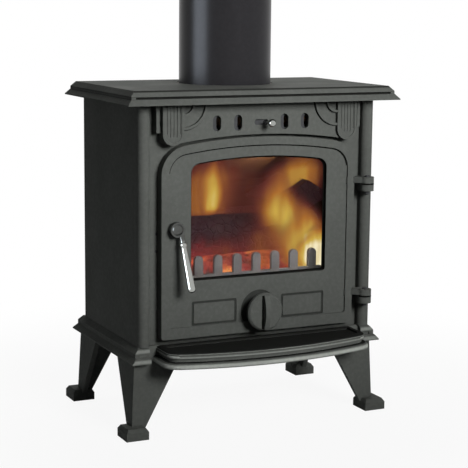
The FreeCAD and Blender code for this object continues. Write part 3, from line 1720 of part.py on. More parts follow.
air_nut_radius = S.air_spindle_radius + S.air_nut_wall
spin(air_nut, "shape", "XY", [box(S.air_spindle_radius, ZERO, air_nut_radius, S.air_nut_height)])
pieces.append(air_nut)

doc.recompute()
for thing in doc.Objects:
    if "Invalid" in thing.State or "Error" in thing.State:
        raise RuntimeError(f"{thing.Label} did not build: {thing.State}")
os.makedirs("parts", exist_ok=True)
for piece in pieces:
    shape = piece.Shape
    if shape.isNull() or not shape.isValid() or not shape.Solids:
        raise RuntimeError(f"{piece.Label} has no valid solid")
    shape.exportStep(f"parts/{piece.Label}.step")
print(len(pieces), "pieces")
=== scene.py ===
"""Cast iron wood stove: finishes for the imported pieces, a burning fire and a plain stage."""

import json
import math

import bmesh
import bpy
from bpy.props import FloatProperty, FloatVectorProperty, IntProperty, PointerProperty
from mathutils import Matrix, Vector, noise

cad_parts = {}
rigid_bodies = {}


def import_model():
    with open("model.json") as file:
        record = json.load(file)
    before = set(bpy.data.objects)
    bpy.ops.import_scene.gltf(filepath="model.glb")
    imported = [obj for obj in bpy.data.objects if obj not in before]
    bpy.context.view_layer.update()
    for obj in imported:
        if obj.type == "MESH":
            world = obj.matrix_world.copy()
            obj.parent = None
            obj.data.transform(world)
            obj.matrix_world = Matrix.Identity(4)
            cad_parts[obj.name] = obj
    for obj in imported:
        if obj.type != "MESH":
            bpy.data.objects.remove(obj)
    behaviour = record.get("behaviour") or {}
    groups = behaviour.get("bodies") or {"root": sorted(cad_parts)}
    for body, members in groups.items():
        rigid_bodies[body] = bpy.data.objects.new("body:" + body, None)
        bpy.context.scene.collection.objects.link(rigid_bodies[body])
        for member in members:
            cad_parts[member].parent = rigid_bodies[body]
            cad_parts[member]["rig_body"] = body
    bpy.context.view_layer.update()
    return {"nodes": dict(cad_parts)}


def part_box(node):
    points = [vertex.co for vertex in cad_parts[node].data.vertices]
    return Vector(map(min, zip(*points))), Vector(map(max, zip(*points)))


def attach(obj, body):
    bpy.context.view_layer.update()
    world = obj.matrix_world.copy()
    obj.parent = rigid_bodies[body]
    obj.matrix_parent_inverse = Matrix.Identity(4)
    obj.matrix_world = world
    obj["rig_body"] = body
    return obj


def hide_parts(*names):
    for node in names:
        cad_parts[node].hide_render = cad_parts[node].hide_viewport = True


bl_info = {
    "name": "Cast Iron Wood Stove",
    "version": (1, 0, 0),
    "blender": (4, 5, 0),
    "location": "3D View > Sidebar > Stove",
    "description": "Finishes the pieces of a cast iron wood stove and lays a fire in it",
    "category": "Object",
}

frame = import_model()

MERGE_DISTANCE = 1e-6
FLAT_ANGLE = math.radians(0.4)
SHARP_ANGLE = math.radians(32)
FACING = 0.99
EDGE_ON = 0.1
BEVEL_LEAN = (0.5, 0.85)
FRONTWARD = 0.9
LEAST_ROLL = 0.005
ROLL_SHARES = (0.01, 0.99)
ROLL_TURNS = tuple(math.radians(turn) for turn in (18, 36, 54, 72))
TRAY_DARK_DROP = 0.0035
GROOVE_HALF = 0.0016
RIM_LINE = 0.0022
RELIEF_LINE = 0.0014
FIN_LINE = 0.003
GROOVE_DEPTHS = (0.001, 0.004)
REVEAL_DEPTHS = (0.004, 0.02)
NECK_INSET = (0.010, 0.012)
STOP_REACH = 0.0037
TOP_LINE_HALF = 0.0011
LIP_WIDTH = 0.003
LUG_RADIUS = 0.011
LUG_RADIUS_SLACK = 0.0001
HINGE_SHADE_HEIGHT = 0.0024
FILM_LIFT = 0.00015
LOG_RINGS, LOG_SIDES = 40, 40
SPLIT_RINGS, SPLIT_STEPS = 26, 8
TONGUE_ROWS, TONGUE_COLUMNS = 26, 10
BED_STEPS = 24

FAR_UP = 100.0
WHITE = (1.0, 1.0, 1.0, 1.0)
BLACK = (0.0, 0.0, 0.0, 1.0)
PALE_DUST = (0.30, 0.29, 0.27, 1.0)
# Near black: painted shade in grooves, corners, under the hinge knuckles and on the window's
# reveal, and the ash shelf's dark tray.
NEAR_BLACK = (0.006, 0.006, 0.0055)
# Fainter painted shade for the floors of shallow grooves.
FAINT_SHADE = (0.032, 0.034, 0.031)
SMUDGE = (0.12, 0.11, 0.10, 1.0)
# Painted dark reflection, laid on the chrome from a level upwards.
DARK_REFLECTION = (0.045, 0.047, 0.045, 1.0)
REFLECTION_DROP, REFLECTION_RUN = 0.014, 0.008
BRICK_SMOKE = (0.032, 0.025, 0.024, 1.0)
SMOKE_LEVELS = (0.25, 0.34)
GLASS_HAZE = (0.96, 0.95, 0.93, 1.0)
BARK_TONES = ((0.3, (0.006, 0.003, 0.005)), (0.55, (0.016, 0.007, 0.01)),
              (0.75, (0.04, 0.024, 0.024)))
BARK_GLOW = ((0.014, 0.004, 0.005, 1.0), (0.60, 0.07, 0.07, 1.0))
COAL_TONES = ((0.02, 0.015, 0.014, 1.0), (0.22, 0.19, 0.17, 1.0))
COAL_CRUST = (0.06, 0.01, 0.006, 1.0)
COAL_GLOW = ((0.30, (0.02, 0.002, 0.001)), (0.44, (0.32, 0.035, 0.03)),
             (0.58, (0.75, 0.14, 0.045)), (0.72, (1.0, 0.50, 0.12)))
FLAME_GLOW = ((0.0, (0.07, 0.012, 0.012)), (0.25, (0.17, 0.035, 0.025)),
              (0.50, (0.40, 0.15, 0.025)), (0.75, (0.60, 0.42, 0.07)), (1.0, (1, 0.93, 0.68)))
CAST_SKIN = {"Grain": 700.0, "Cloud": 0.2, "Settled": PALE_DUST, "Dust": 0.1, "Cover": 0.0,
             "Level": FAR_UP, "Groove": FAR_UP, "Seam": FAR_UP, "Worn": 0.0}
COLOUR_A, COLOUR_B, COLOUR_MIXED = 6, 7, 2

PLATES = ("side_plate_left", "side_plate_right", "back_plate", "outlet_cover", "front_frame",
          "header")
LEGS = ("leg_front_left", "leg_front_right", "leg_back_left", "leg_back_right")
BLACK_FASTENERS = ("ash_shelf_bolts", "leg_bolts", "outlet_cover_screws", "header_screws",
                   "flue_collar_bolts", "glass_clip_screws", "latch_keeper_screws", "handle_bush",
                   "air_shutter", "air_slide_plate", "hinge_pin_upper", "hinge_pin_lower")
STEEL_PIECES = ("tie_rods", "latch_keeper", "glass_clips", "latch_spindle", "latch_tongue",
                "latch_nut", "air_spindle", "air_shutter_nut")
CHROME_PIECES = ("air_slide_knob", "air_slide_stem")
LATCH_CHROME = ("handle_lever", "handle_cap")
ROPE_PIECES = ("door_rope", "glass_gasket", "flue_seal")
BRICK_PIECES = ("fire_brick_left", "fire_brick_right", "fire_brick_rear")
HOT_IRON = ("fire_grate", "log_guard", "baffle_plate")


class StoveFinishes(bpy.types.PropertyGroup):
    """Colours and edge sizes of the stove's finishes."""

    iron: FloatVectorProperty(
        name="Iron", description="Satin black of the castings", subtype="COLOR",
        default=(0.074, 0.078, 0.072), min=0, max=1)
    iron_gloss: FloatProperty(
        name="Iron roughness", description="Roughness of the blacked castings", subtype="FACTOR",
        default=0.52, min=0, max=1)
    hot_iron: FloatVectorProperty(
        name="Heat scale", description="Grey of the iron that stands in the fire", subtype="COLOR",
        default=(0.17, 0.165, 0.165), min=0, max=1)
    enamel: FloatVectorProperty(
        name="Flue enamel", description="Dark slate of the flue pipe", subtype="COLOR",
        default=(0.015, 0.0145, 0.016), min=0, max=1)
    pan: FloatVectorProperty(
        name="Ash pan", description="Dark grey of the ash pan", subtype="COLOR",
        default=(0.045, 0.046, 0.048), min=0, max=1)
    chrome: FloatVectorProperty(
        name="Chrome", description="Bright plate of the handle", subtype="COLOR",
        default=(0.36, 0.37, 0.35), min=0, max=1)
    steel: FloatVectorProperty(
        name="Steel", description="Plain steel of pins, spindles and clips", subtype="COLOR",
        default=(0.30, 0.30, 0.30), min=0, max=1)
    rope: FloatVectorProperty(
        name="Rope", description="Glass fibre of the door rope", subtype="COLOR",
        default=(0.33, 0.31, 0.28), min=0, max=1)
    brick: FloatVectorProperty(
        name="Fire brick", description="Clean face of the fire bricks", subtype="COLOR",
        default=(0.50, 0.36, 0.23), min=0, max=1)
    edge: FloatProperty(
        name="Casting edge", description="Rounding of a casting's outer edges", subtype="DISTANCE",
        unit="LENGTH", default=0.0007, min=0, max=0.003)
    fine_edge: FloatProperty(
        name="Fine edge", description="Rounding of small turned and pressed pieces",
        subtype="DISTANCE", unit="LENGTH", default=0.0003, min=0, max=0.002)


class StoveFire(bpy.types.PropertyGroup):
    """Lay and brightness of the fire."""

    bark: FloatProperty(
        name="Bark relief", description="Depth of the bark as a share of a log's radius",
        subtype="FACTOR", default=0.10, min=0, max=0.3)
    ember_count: IntProperty(
        name="Embers", description="Number of embers on the bed", default=420, min=0, max=2000)
    ember_size: FloatProperty(
        name="Ember size", description="Largest radius of an ember", subtype="DISTANCE",
        unit="LENGTH", default=0.0085, min=0.002, max=0.02)
    flame_strength: FloatProperty(
        name="Flame strength", description="Light given by the flames", default=1.0, min=0, max=20)
    ember_strength: FloatProperty(
        name="Ember strength", description="Light given by the embers", default=1.0, min=0, max=20)
    glow_power: FloatProperty(
        name="Fire glow", description="Power of the warm light inside the firebox", unit="POWER",
        default=0.5, min=0)
    seed: IntProperty(name="Seed", description="Lay of the embers and the bark", default=7, min=0)


class StoveStage(bpy.types.PropertyGroup):
    """Lights and floor."""

    key_power: FloatProperty(
        name="Key light", description="Power of the light at the right front", unit="POWER",
        default=6.2, min=0)
    top_power: FloatProperty(
        name="Top light", description="Power of the light above and behind the stove", unit="POWER",
        default=12, min=0)
    strip_power: FloatProperty(
        name="Strip light", description="Power of the narrow light at the left", unit="POWER",
        default=140.0, min=0)
    ambient: FloatProperty(
        name="Room light", description="Level of the even light around the stove",
        default=0.06, min=0, max=2)
    veil: FloatProperty(
        name="White floor", description="How far the floor near the stove is shown white",
        subtype="FACTOR", default=0.92, min=0, max=1)
    floor: FloatVectorProperty(
        name="Floor", description="Pale floor", subtype="COLOR", default=(0.6, 0.6, 0.6),
        min=0, max=1)


class Graph:
    """Short hand for adding and joining nodes in a tree."""

    def __init__(self, tree):
        self.tree = tree

    def add(self, kind, settings=None, **inputs):
        node = self.tree.nodes.new(kind)
        for name, value in (settings or {}).items():
            setattr(node, name, value)
        self.fill(node, **inputs)
        return node

    def fill(self, node, **inputs):
        for name, value in inputs.items():
            self.feed(node.inputs[name.replace("_", " ")], value)

    def feed(self, socket, value):
        if isinstance(value, bpy.types.NodeSocket):
            self.tree.links.new(value, socket)
        else:
            socket.default_value = value

    def use(self, group, **inputs):
        settings = {"node_tree": bpy.data.node_groups[group]}
        return self.add("ShaderNodeGroup", settings, **inputs).outputs

    def math(self, operation, *values):
        node = self.add("ShaderNodeMath", {"operation": operation})
        for socket, value in zip(node.inputs, values):
            self.feed(socket, value)
        return node.outputs[0]

    def times(self, first, second):
        return self.math("MULTIPLY", first, second)

    def plus(self, first, second):
        return self.math("ADD", first, second)

    def mix(self, amount, first, second):
        node = self.add("ShaderNodeMix", {"data_type": "RGBA"}, Factor=amount)
        self.feed(node.inputs[COLOUR_A], first)
        self.feed(node.inputs[COLOUR_B], second)
        return node.outputs[COLOUR_MIXED]

    def span(self, value, low, high, first=0.0, last=1.0):
        node = self.add("ShaderNodeMapRange", {"interpolation_type": "SMOOTHSTEP"}, Value=value,
                        From_Min=low, From_Max=high, To_Min=first, To_Max=last)
        return node.outputs[0]

    def noise(self, place, scale, detail=3.0, roughness=0.55):
        node = self.add("ShaderNodeTexNoise", Vector=place, Scale=scale, Detail=detail,
                        Roughness=roughness)
        return node.outputs["Fac"]

    def ramp(self, value, *stops):
        node = self.tree.nodes.new("ShaderNodeValToRGB")
        elements = node.color_ramp.elements
        while len(elements) < len(stops):
            elements.new(0.5)
        for element, (position, colour) in zip(elements, stops):
            element.position = position
            element.color = full(colour)
        self.feed(node.inputs[0], value)
        return node.outputs[0]

    def place(self):
        return self.add("ShaderNodeTexCoord").outputs["Object"]

    def split(self, vector):
        return self.add("ShaderNodeSeparateXYZ", Vector=vector).outputs


def full(colour, share=1.0):
    """Opaque colour at a share of its brightness."""
    return (*(share * part for part in colour), 1.0)


def shader_group(name, **inputs):
    """Empty shader node group that gives a colour, a roughness and a height."""
    tree = bpy.data.node_groups.new(name, "ShaderNodeTree")
    for label, default in inputs.items():
        kind = "NodeSocketColor" if isinstance(default, tuple) else "NodeSocketFloat"
        socket = tree.interface.new_socket(label, in_out="INPUT", socket_type=kind)
        socket.default_value = default
    for label, kind in (("Colour", "Color"), ("Roughness", "Float"), ("Height", "Float")):
        tree.interface.new_socket(label, in_out="OUTPUT", socket_type="NodeSocket" + kind)
    g = Graph(tree)
    return g, g.add("NodeGroupInput").outputs


def cast_skin_group():
    """Sand cast skin: pits, cloudy polish, a painted highlight on faces that lean a little upward,
    a settled colour on upward faces, and painted shade along a groove and a line near the top.
    """
    g, given = shader_group("cast_skin", Colour=BLACK, Roughness=0.5, **CAST_SKIN)
    place = g.place()
    cloud = g.noise(place, 9.0, 4.0)
    speck = g.noise(place, 160.0)
    shift = g.times(g.math("SUBTRACT", cloud, 0.5), given["Cloud"])
    flecked = g.times(g.plus(1.0, g.times(shift, 2.0)), g.span(speck, 0.35, 0.75, 0.94, 1.08))
    facing = g.split(g.add("ShaderNodeNewGeometry").outputs["Normal"])
    upward = facing["Z"]
    # Painted highlight: faces that lean a little upward, as on a rolled bead, are lightened.
    highlight_band = g.times(g.span(upward, -0.04, 0.16), g.span(upward, 0.35, 0.75, 1.0, 0.0))
    highlighted = g.plus(1.0, g.times(highlight_band, given["Worn"]))
    toned = g.add("ShaderNodeVectorMath", {"operation": "SCALE"}, Vector=given["Colour"],
                  Scale=g.times(flecked, highlighted))
    height = g.split(place)["Z"]
    above = g.span(g.math("SUBTRACT", height, given["Level"]), 0.0, 0.001)
    flat = g.math("MAXIMUM", g.span(upward, 0.80, 0.97), above)
    patchy = g.math("MAXIMUM", g.span(cloud, 0.38, 0.7), given["Cover"])
    dusty = g.times(g.times(flat, patchy), given["Dust"])
    dusted = g.mix(dusty, toned.outputs[0], given["Settled"])
    from_groove, from_top_line = (g.math("ABSOLUTE", g.math("SUBTRACT", height, given[line]))
                              for line in ("Groove", "Seam"))
    # Painted shade: a dark line at the groove's level, and on front faces a dark line just under
    # the top.
    groove = g.span(from_groove, GROOVE_HALF, 1.4 * GROOVE_HALF, 0.9, 0.0)
    front = g.times(g.span(facing["Y"], -0.65, -0.45, 1.0, 0.0),
                    g.span(upward, 0.75, 0.90, 1.0, 0.0))
    top_line_shade = g.times(front, g.span(from_top_line, TOP_LINE_HALF, 1.8 * TOP_LINE_HALF, 0.8, 0.0))
    rough = g.plus(given["Roughness"], g.times(shift, -0.6))
    shade_painted = g.mix(g.math("MAXIMUM", groove, top_line_shade), dusted, full(NEAR_BLACK))
    g.add("NodeGroupOutput", Colour=shade_painted, Roughness=g.plus(rough, g.times(dusty, 0.3)),
          Height=g.noise(place, given["Grain"], 4.0, 0.5))


def smudge_group():
    """Wiped metal: fine rub marks and a few dull patches."""
    g, given = shader_group("wiped_metal", Colour=WHITE, Roughness=0.15, Rub=0.1)
    place = g.place()
    drawn = g.add("ShaderNodeMapping", Scale=(600.0, 600.0, 60.0), Vector=place)
    dull = g.times(g.span(g.noise(place, 45.0), 0.45, 0.75), given["Rub"])
    g.add("NodeGroupOutput", Colour=g.mix(dull, given["Colour"], SMUDGE),
          Roughness=g.plus(given["Roughness"], g.times(dull, 0.8)),
          Height=g.noise(drawn.outputs[0], 1.0, 2.0))


def new_material(name):
    """Material with an empty Principled shader, and its graph."""
    material = bpy.data.materials.new(name)
    material.use_nodes = True
    return material, Graph(material.node_tree), material.node_tree.nodes["Principled BSDF"]


def bumped(g, shader, height, distance, strength):
    """Gives a shader the fine relief of a height."""
    bump = g.add("ShaderNodeBump", Strength=strength, Distance=distance, Height=height)
    g.fill(shader, Normal=bump.outputs[0])


def cast_material(name, colour, roughness, pit=0.0002, gloss=0.006, **changes):
    """Material that wears the sand cast skin, with changes to its usual values."""
    material, g, shader = new_material(name)
    skin = g.use("cast_skin", Colour=full(colour), Roughness=roughness, **(CAST_SKIN | changes))
    g.fill(shader, Base_Color=skin["Colour"], Roughness=skin["Roughness"],
           Specular_IOR_Level=gloss)
    bumped(g, shader, skin["Height"], distance=pit, strength=0.35)
    return material


def metal_material(name, colour, roughness, rub, dark_above=FAR_UP):
    """Bare or plated metal with rub marks, and a painted dark reflection above a level."""
    material, g, shader = new_material(name)
    dark = g.span(g.split(g.place())["Z"], dark_above, dark_above + REFLECTION_RUN, 0.0, 0.85)
    wiped = g.use("wiped_metal", Colour=full(colour), Roughness=roughness, Rub=rub)
    g.fill(shader, Base_Color=g.mix(dark, wiped["Colour"], DARK_REFLECTION),
           Roughness=wiped["Roughness"], Metallic=1.0)
    bumped(g, shader, wiped["Height"], distance=0.00003, strength=0.2)
    return material


def rope_material(colour):
    """Braided glass fibre: two crossing rows of strands."""
    material, g, shader = new_material("braided_rope")
    place = g.place()
    strands = []
    for turn in (math.radians(45), math.radians(-45)):
        turned = g.add("ShaderNodeMapping", Vector=place, Rotation=(turn, turn, turn))
        wave = g.add("ShaderNodeTexWave", Vector=turned.outputs[0], Scale=130.0, Distortion=0.6)
        strands.append(wave.outputs["Fac"])
    braid = g.math("MAXIMUM", *strands)
    g.fill(shader, Base_Color=g.mix(braid, full(colour, 0.35), full(colour)), Roughness=0.9)
    bumped(g, shader, braid, distance=0.0006, strength=0.7)
    return material


def brick_material(colour):
    """Fire brick: crumbly face, smoked towards its top."""
    material, g, shader = new_material("fire_brick")
    place = g.place()
    crumb = g.noise(place, 240.0, 4.0)
    blotch = g.noise(place, 14.0, 4.0)
    smoke = g.span(g.plus(g.split(place)["Z"], g.times(blotch, 0.1)), *SMOKE_LEVELS)
    clean = g.mix(g.span(crumb, 0.35, 0.7), full(colour, 0.7), full(colour))
    g.fill(shader, Base_Color=g.mix(smoke, clean, BRICK_SMOKE), Roughness=0.92)
    bumped(g, shader, crumb, distance=0.0008, strength=0.5)
    return material


def glass_material():
    """Clear heat proof glass with a faint haze."""
    material, g, shader = new_material("stove_glass")
    haze = g.noise(g.place(), 22.0)
    g.fill(shader, Base_Color=g.mix(haze, GLASS_HAZE, WHITE), Transmission_Weight=1.0, IOR=1.12,
           Roughness=g.span(haze, 0.4, 0.8, 0.01, 0.06))
    return material


def charred_material():
    """Charred bark: cracked black with glowing cracks low down."""
    material, g, shader = new_material("charred_log")
    place = g.place()
    cells = g.add("ShaderNodeTexVoronoi", {"feature": "DISTANCE_TO_EDGE"}, Vector=place,
                  Scale=70.0)
    crack = g.span(cells.outputs["Distance"], 0.0, 0.12, 1.0, 0.0)
    blotch = g.noise(place, 30.0, 4.0)
    parts = g.split(place)
    low = g.span(g.plus(parts["Z"], g.times(blotch, 0.05)), 0.28, 0.34, 1.0, 0.0)
    left = g.span(parts["X"], -0.12, 0.0, 0.55, 0.1)
    glow = g.times(low, g.plus(left, g.times(crack, 0.3)))
    g.fill(shader, Base_Color=g.ramp(blotch, *BARK_TONES), Roughness=0.9, Specular_IOR_Level=0.1,
           Emission_Color=g.mix(glow, *BARK_GLOW), Emission_Strength=0.8)
    bumped(g, shader, g.math("SUBTRACT", blotch, crack), distance=0.003, strength=0.8)
    return material


def ember_material(strength):
    """Glowing wood coal under a skin of ash."""
    material, g, shader = new_material("glowing_ember")
    place = g.place()
    ash = g.noise(place, 300.0)
    hot = g.plus(g.noise(place, 38.0), g.span(g.split(place)["X"], 0.02, 0.15, -0.06, 0.16))
    glow = g.mix(g.span(ash, 0.4, 0.7, 0.0, 0.55), g.ramp(hot, *COAL_GLOW), COAL_CRUST)
    g.fill(shader, Base_Color=g.mix(ash, *COAL_TONES), Roughness=0.95, Emission_Color=glow,
           Emission_Strength=strength)
    return material


def flame_material(strength):
    """Flame: bright core and thin red rim, read from the tongue's own core attribute."""
    material, g, shader = new_material("flame")
    core = g.add("ShaderNodeAttribute", {"attribute_name": "core"}).outputs["Fac"]
    stretched = g.add("ShaderNodeMapping", Scale=(1.0, 1.0, 0.22), Vector=g.place())
    lick = g.noise(stretched.outputs[0], 42.0, 2.0)
    heat = g.times(core, g.span(lick, 0.25, 0.75, 0.78, 1.12))
    g.fill(shader, Base_Color=BLACK, Roughness=1.0, Specular_IOR_Level=0.0,
           Emission_Color=g.ramp(heat, *FLAME_GLOW), Emission_Strength=strength,
           Alpha=g.span(heat, 0.0, 0.8, 0.0, 0.85))
    return material


def bevel_way(face, front_only):
    """Level direction in which a moulding's bevel faces, None for faces that stay flat."""
    if not BEVEL_LEAN[0] < face.normal.z < BEVEL_LEAN[1]:
        return None
    way = face.normal.xy.normalized()
    return None if front_only and way.y > -FRONTWARD else way


def roll_bevels(shape, front_only):
    """Swells the flat bevels of a moulding outwards into quarter rolls."""
    spans = set()
    for face in shape.faces:
        if bevel_way(face, front_only):
            levels = [round(vert.co.z, 5) for vert in face.verts]
            if max(levels) - min(levels) > LEAST_ROLL:
                spans.add((min(levels), max(levels)))
    for low, high in spans:
        for turn in ROLL_TURNS:
            level = low + (high - low) * math.sin(turn)
            parts = list(shape.verts) + list(shape.edges) + list(shape.faces)
            bmesh.ops.bisect_plane(shape, geom=parts, dist=MERGE_DISTANCE,
                                   plane_co=(0, 0, level), plane_no=(0, 0, 1))
    moves = []
    for vert in shape.verts:
        bevels = [face for face in vert.link_faces if bevel_way(face, front_only)]
        for low, high in spans:
            share = (vert.co.z - low) / (high - low)
            if not bevels or not ROLL_SHARES[0] < share < ROLL_SHARES[1]:
                continue
            lean = bevels[0].normal.z
            run = (high - low) * lean / math.sqrt(1.0 - lean * lean)
            swell = run * (share - 1.0 + math.sqrt(1.0 - share * share))
            first = bevel_way(bevels[0], front_only)
            second = min((bevel_way(face, front_only) for face in bevels), key=first.dot)
            push = (first + second) * swell / (1.0 + first.dot(second))
            moves.append((vert, Vector((push.x, push.y, 0))))
    for vert, push in moves:
        vert.co += push
    shape.normal_update()


def merged(node):
    """Merged copy of a CAD piece's mesh, its flat faces joined."""
    shape = bmesh.new()
    shape.from_mesh(frame["nodes"][node].data)
    bmesh.ops.remove_doubles(shape, verts=shape.verts, dist=MERGE_DISTANCE)
    bmesh.ops.dissolve_limit(shape, angle_limit=FLAT_ANGLE, verts=shape.verts, edges=shape.edges,
                             use_dissolve_boundaries=False, delimit={"NORMAL"})
    return shape


def casting_front(node):
    """Merged shape of a casting, and the level of the largest face that looks to the front."""
    solid = merged(node)
    fronts = [face for face in solid.faces if face.normal.y < -FACING]
    return solid, max(fronts, key=lambda face: face.calc_area()).verts[0].co.y


def mesh_from(name, shape):
    """Mesh made from a shape, which is used up."""
    mesh = bpy.data.meshes.new(name)
    shape.to_mesh(mesh)
    shape.free()
    return mesh


def add_object(name, data, place=(0, 0, 0)):
    """Object linked to the scene at a place."""
    thing = bpy.data.objects.new(name, data)
    thing.location = place
    bpy.context.scene.collection.objects.link(thing)
    return thing


def settle(name, shape, material, node, replaced=False):
    """Object made from a shape, riding on the body of a CAD piece that it may stand in for."""
    mesh = mesh_from(name, shape)
    mesh.materials.append(material)
    piece = add_object(name, mesh)
    even = piece.modifiers.new("even_shading", "WEIGHTED_NORMAL")
    even.keep_sharp = True
    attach(piece, frame["nodes"][node]["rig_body"])
    if replaced:
        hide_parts(node)


def lay_film(node, name, film, material):
    """Thin closed film made from loose faces, riding with its piece."""
    bmesh.ops.recalc_face_normals(film, faces=film.faces)
    bmesh.ops.solidify(film, geom=list(film.faces), thickness=2 * FILM_LIFT)
    bmesh.ops.recalc_face_normals(film, faces=film.faces)
    settle(node + name, film, material, node)


def foot_strip(feet, width):
    """Strip of one width along the feet of walls, reaching away from them over the ground."""
    ways = {}
    for verts, normal in feet:
        for vert in verts:
            ways.setdefault(vert, []).append(normal)
    film = bmesh.new()
    rows = {}
    for vert, normals in ways.items():
        inward = sum(normals, Vector()).normalized() * width
        foot = vert.co - Vector((0, FILM_LIFT, 0))
        rows[vert] = film.verts.new(foot), film.verts.new(foot + inward)
    for (first, second), _ in feet:
        film.faces.new((*rows[first], *reversed(rows[second])))
    return film


def relief_line(node, material, width, facing=None):
    """Painted shade line at the foot of a casting's relief, below walls that face a way."""
    solid, field = casting_front(node)
    feet = []
    for line in solid.edges:
        walls = [face for face in line.link_faces if abs(face.normal.y) < EDGE_ON
                 and face.calc_center_median().y < field
                 and (facing is None or face.normal.dot(facing) > EDGE_ON)]
        if walls and all(abs(vert.co.y - field) < MERGE_DISTANCE for vert in line.verts):
            feet.append((line.verts, walls[0].normal))
    lay_film(node, "_relief_line", foot_strip(feet, width), material)
    solid.free()


def gasket_lip(node, material):
    """Black lip around the glass inside a door's window: partly the gasket's dark edge, partly
    painted shade of the window's reveal.
    """
    solid, field = casting_front(node)
    feet = []
    for face in solid.faces:
        sunk = [vert.co.y - field for vert in face.verts]
        if window_wall(face, sunk):
            for line in face.edges:
                if all(max(sunk) - vert.co.y + field < MERGE_DISTANCE for vert in line.verts):
                    feet.append((line.verts, face.normal))
    lay_film(node, "_gasket_lip", foot_strip(feet, LIP_WIDTH), material)
    solid.free()


def groove_floor(face, sunk):
    """True for the floor of a shallow groove in a casting's front."""
    return (face.normal.y < -FACING and GROOVE_DEPTHS[0] < min(sunk)
            and max(sunk) < GROOVE_DEPTHS[1])


def window_wall(face, sunk):
    """True for a wall of the window, which runs in from the door's front field to the glass."""
    low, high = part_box("door_glass")
    middle = face.calc_center_median()
    return (low.x < middle.x < high.x and low.z < middle.z < high.z
            and abs(face.normal.y) < EDGE_ON and abs(min(sunk)) < MERGE_DISTANCE
            and REVEAL_DEPTHS[0] < max(sunk) < REVEAL_DEPTHS[1])


def face_film(node, name, material, chosen):
    """Film of painted shade on the chosen faces of a casting."""
    solid, field = casting_front(node)
    film = bmesh.new()
    for face in solid.faces:
        if chosen(face, [vert.co.y - field for vert in face.verts]):
            lift = face.normal * FILM_LIFT
            film.faces.new([film.verts.new(vert.co + lift) for vert in face.verts])
    bmesh.ops.remove_doubles(film, verts=film.verts, dist=MERGE_DISTANCE)
    lay_film(node, name, film, material)
    solid.free()


def groove_ends(node, material):
    """Stops that close the groove of a plate's moulding at its left and right ends."""
    solid = merged(node)
    reach = max(vert.co.x for vert in solid.verts)
    stops = bmesh.new()
    for face in solid.faces:
        inset = reach - abs(face.verts[0].co.x)
        if abs(face.normal.x) > FACING and NECK_INSET[0] < inset < NECK_INSET[1]:
            spots = [vert.co for vert in face.verts]
            low, high = (Vector(tuple(map(pick, *spots))) for pick in (min, max))
            size = high - low + Vector((2 * STOP_REACH, 2 * STOP_REACH, 0))
            where = Matrix.Translation((low + high) / 2) @ Matrix.Diagonal((*size, 1))
            bmesh.ops.create_cube(stops, size=1, matrix=where)
    settle(node + "_groove_ends", stops, material, node)
    solid.free()


def hinge_shade_lines(material):
    """Painted shade line around the top of each hinge lug, under the door's knuckles."""
    low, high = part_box("hinge_pin_upper")
    axis = ((low + high) / 2).xy
    solid = merged("front_frame")
    film = bmesh.new()
    for face in solid.faces:
        off = [abs((vert.co.xy - axis).length - LUG_RADIUS) for vert in face.verts]
        if abs(face.normal.z) < EDGE_ON and max(off) < LUG_RADIUS_SLACK:
            top = max(vert.co.z for vert in face.verts)
            upper = [vert.co + face.normal * FILM_LIFT for vert in face.verts
                     if top - vert.co.z < MERGE_DISTANCE]
            lower = [spot - Vector((0, 0, HINGE_SHADE_HEIGHT)) for spot in reversed(upper)]
            film.faces.new([film.verts.new(spot) for spot in upper + lower])
    bmesh.ops.remove_doubles(film, verts=film.verts, dist=FILM_LIFT)
    lay_film("front_frame", "_hinge_shade_lines", film, material)
    solid.free()


def finished_copy(node, material, edge=0.0, rolled=False, front_only=False):
    """Merged copy of a CAD piece with softened edges and even shading, standing in its place."""
    shape = merged(node)
    if rolled:
        roll_bevels(shape, front_only)
    if edge:
        sharp = [line for line in shape.edges if line.calc_face_angle(0.0) > SHARP_ANGLE]
        bmesh.ops.bevel(shape, geom=sharp, offset=edge, offset_type="OFFSET", segments=2,
                        profile=0.5, affect="EDGES", clamp_overlap=True)
    for face in shape.faces:
        face.smooth = True
    for line in shape.edges:
        line.smooth = line.calc_face_angle(0.0) < SHARP_ANGLE
    settle(node + "_finish", shape, material, node, True)


def finish(nodes, material, edge=0.0):
    """Finished copies of several pieces in one material."""
    for node in nodes:
        finished_copy(node, material, edge)


class STOVE_OT_castings(bpy.types.Operator):
    """Blacks the plates, the legs and the ash shelf"""

    bl_idname = "stove.castings"
    bl_label = "Castings"

    def execute(self, context):
        look = context.scene.stove_finishes
        cast_skin_group()
        paint = look.iron, look.iron_gloss
        iron = cast_material("satin_black_iron", *paint)
        finish(PLATES + LEGS, iron, look.edge)
        low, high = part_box("top_plate")
        # Painted shade along the lid moulding's groove and under its front edge.
        lid = cast_material("groove_shaded_iron", *paint, Groove=(low.z + high.z) / 2,
                            Seam=high.z - TOP_LINE_HALF)
        finished_copy("top_plate", lid, look.edge)
        # Painted highlight on the base plate's rolled bead.
        highlighted = cast_material("highlighted_iron", *paint, Worn=1.4)
        finished_copy("base_plate", highlighted, look.edge, rolled=True, front_only=True)
        for node in ("top_plate", "base_plate"):
            groove_ends(node, iron)
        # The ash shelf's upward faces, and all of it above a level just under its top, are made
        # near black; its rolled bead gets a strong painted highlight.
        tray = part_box("ash_shelf")[1].z - TRAY_DARK_DROP
        dark_tray = cast_material("dark_tray_iron", *paint, Dust=0.9, Settled=full(NEAR_BLACK), Cover=1.0,
                              Level=tray, Worn=3.2)
        finished_copy("ash_shelf", dark_tray, look.edge, rolled=True)
        return {"FINISHED"}


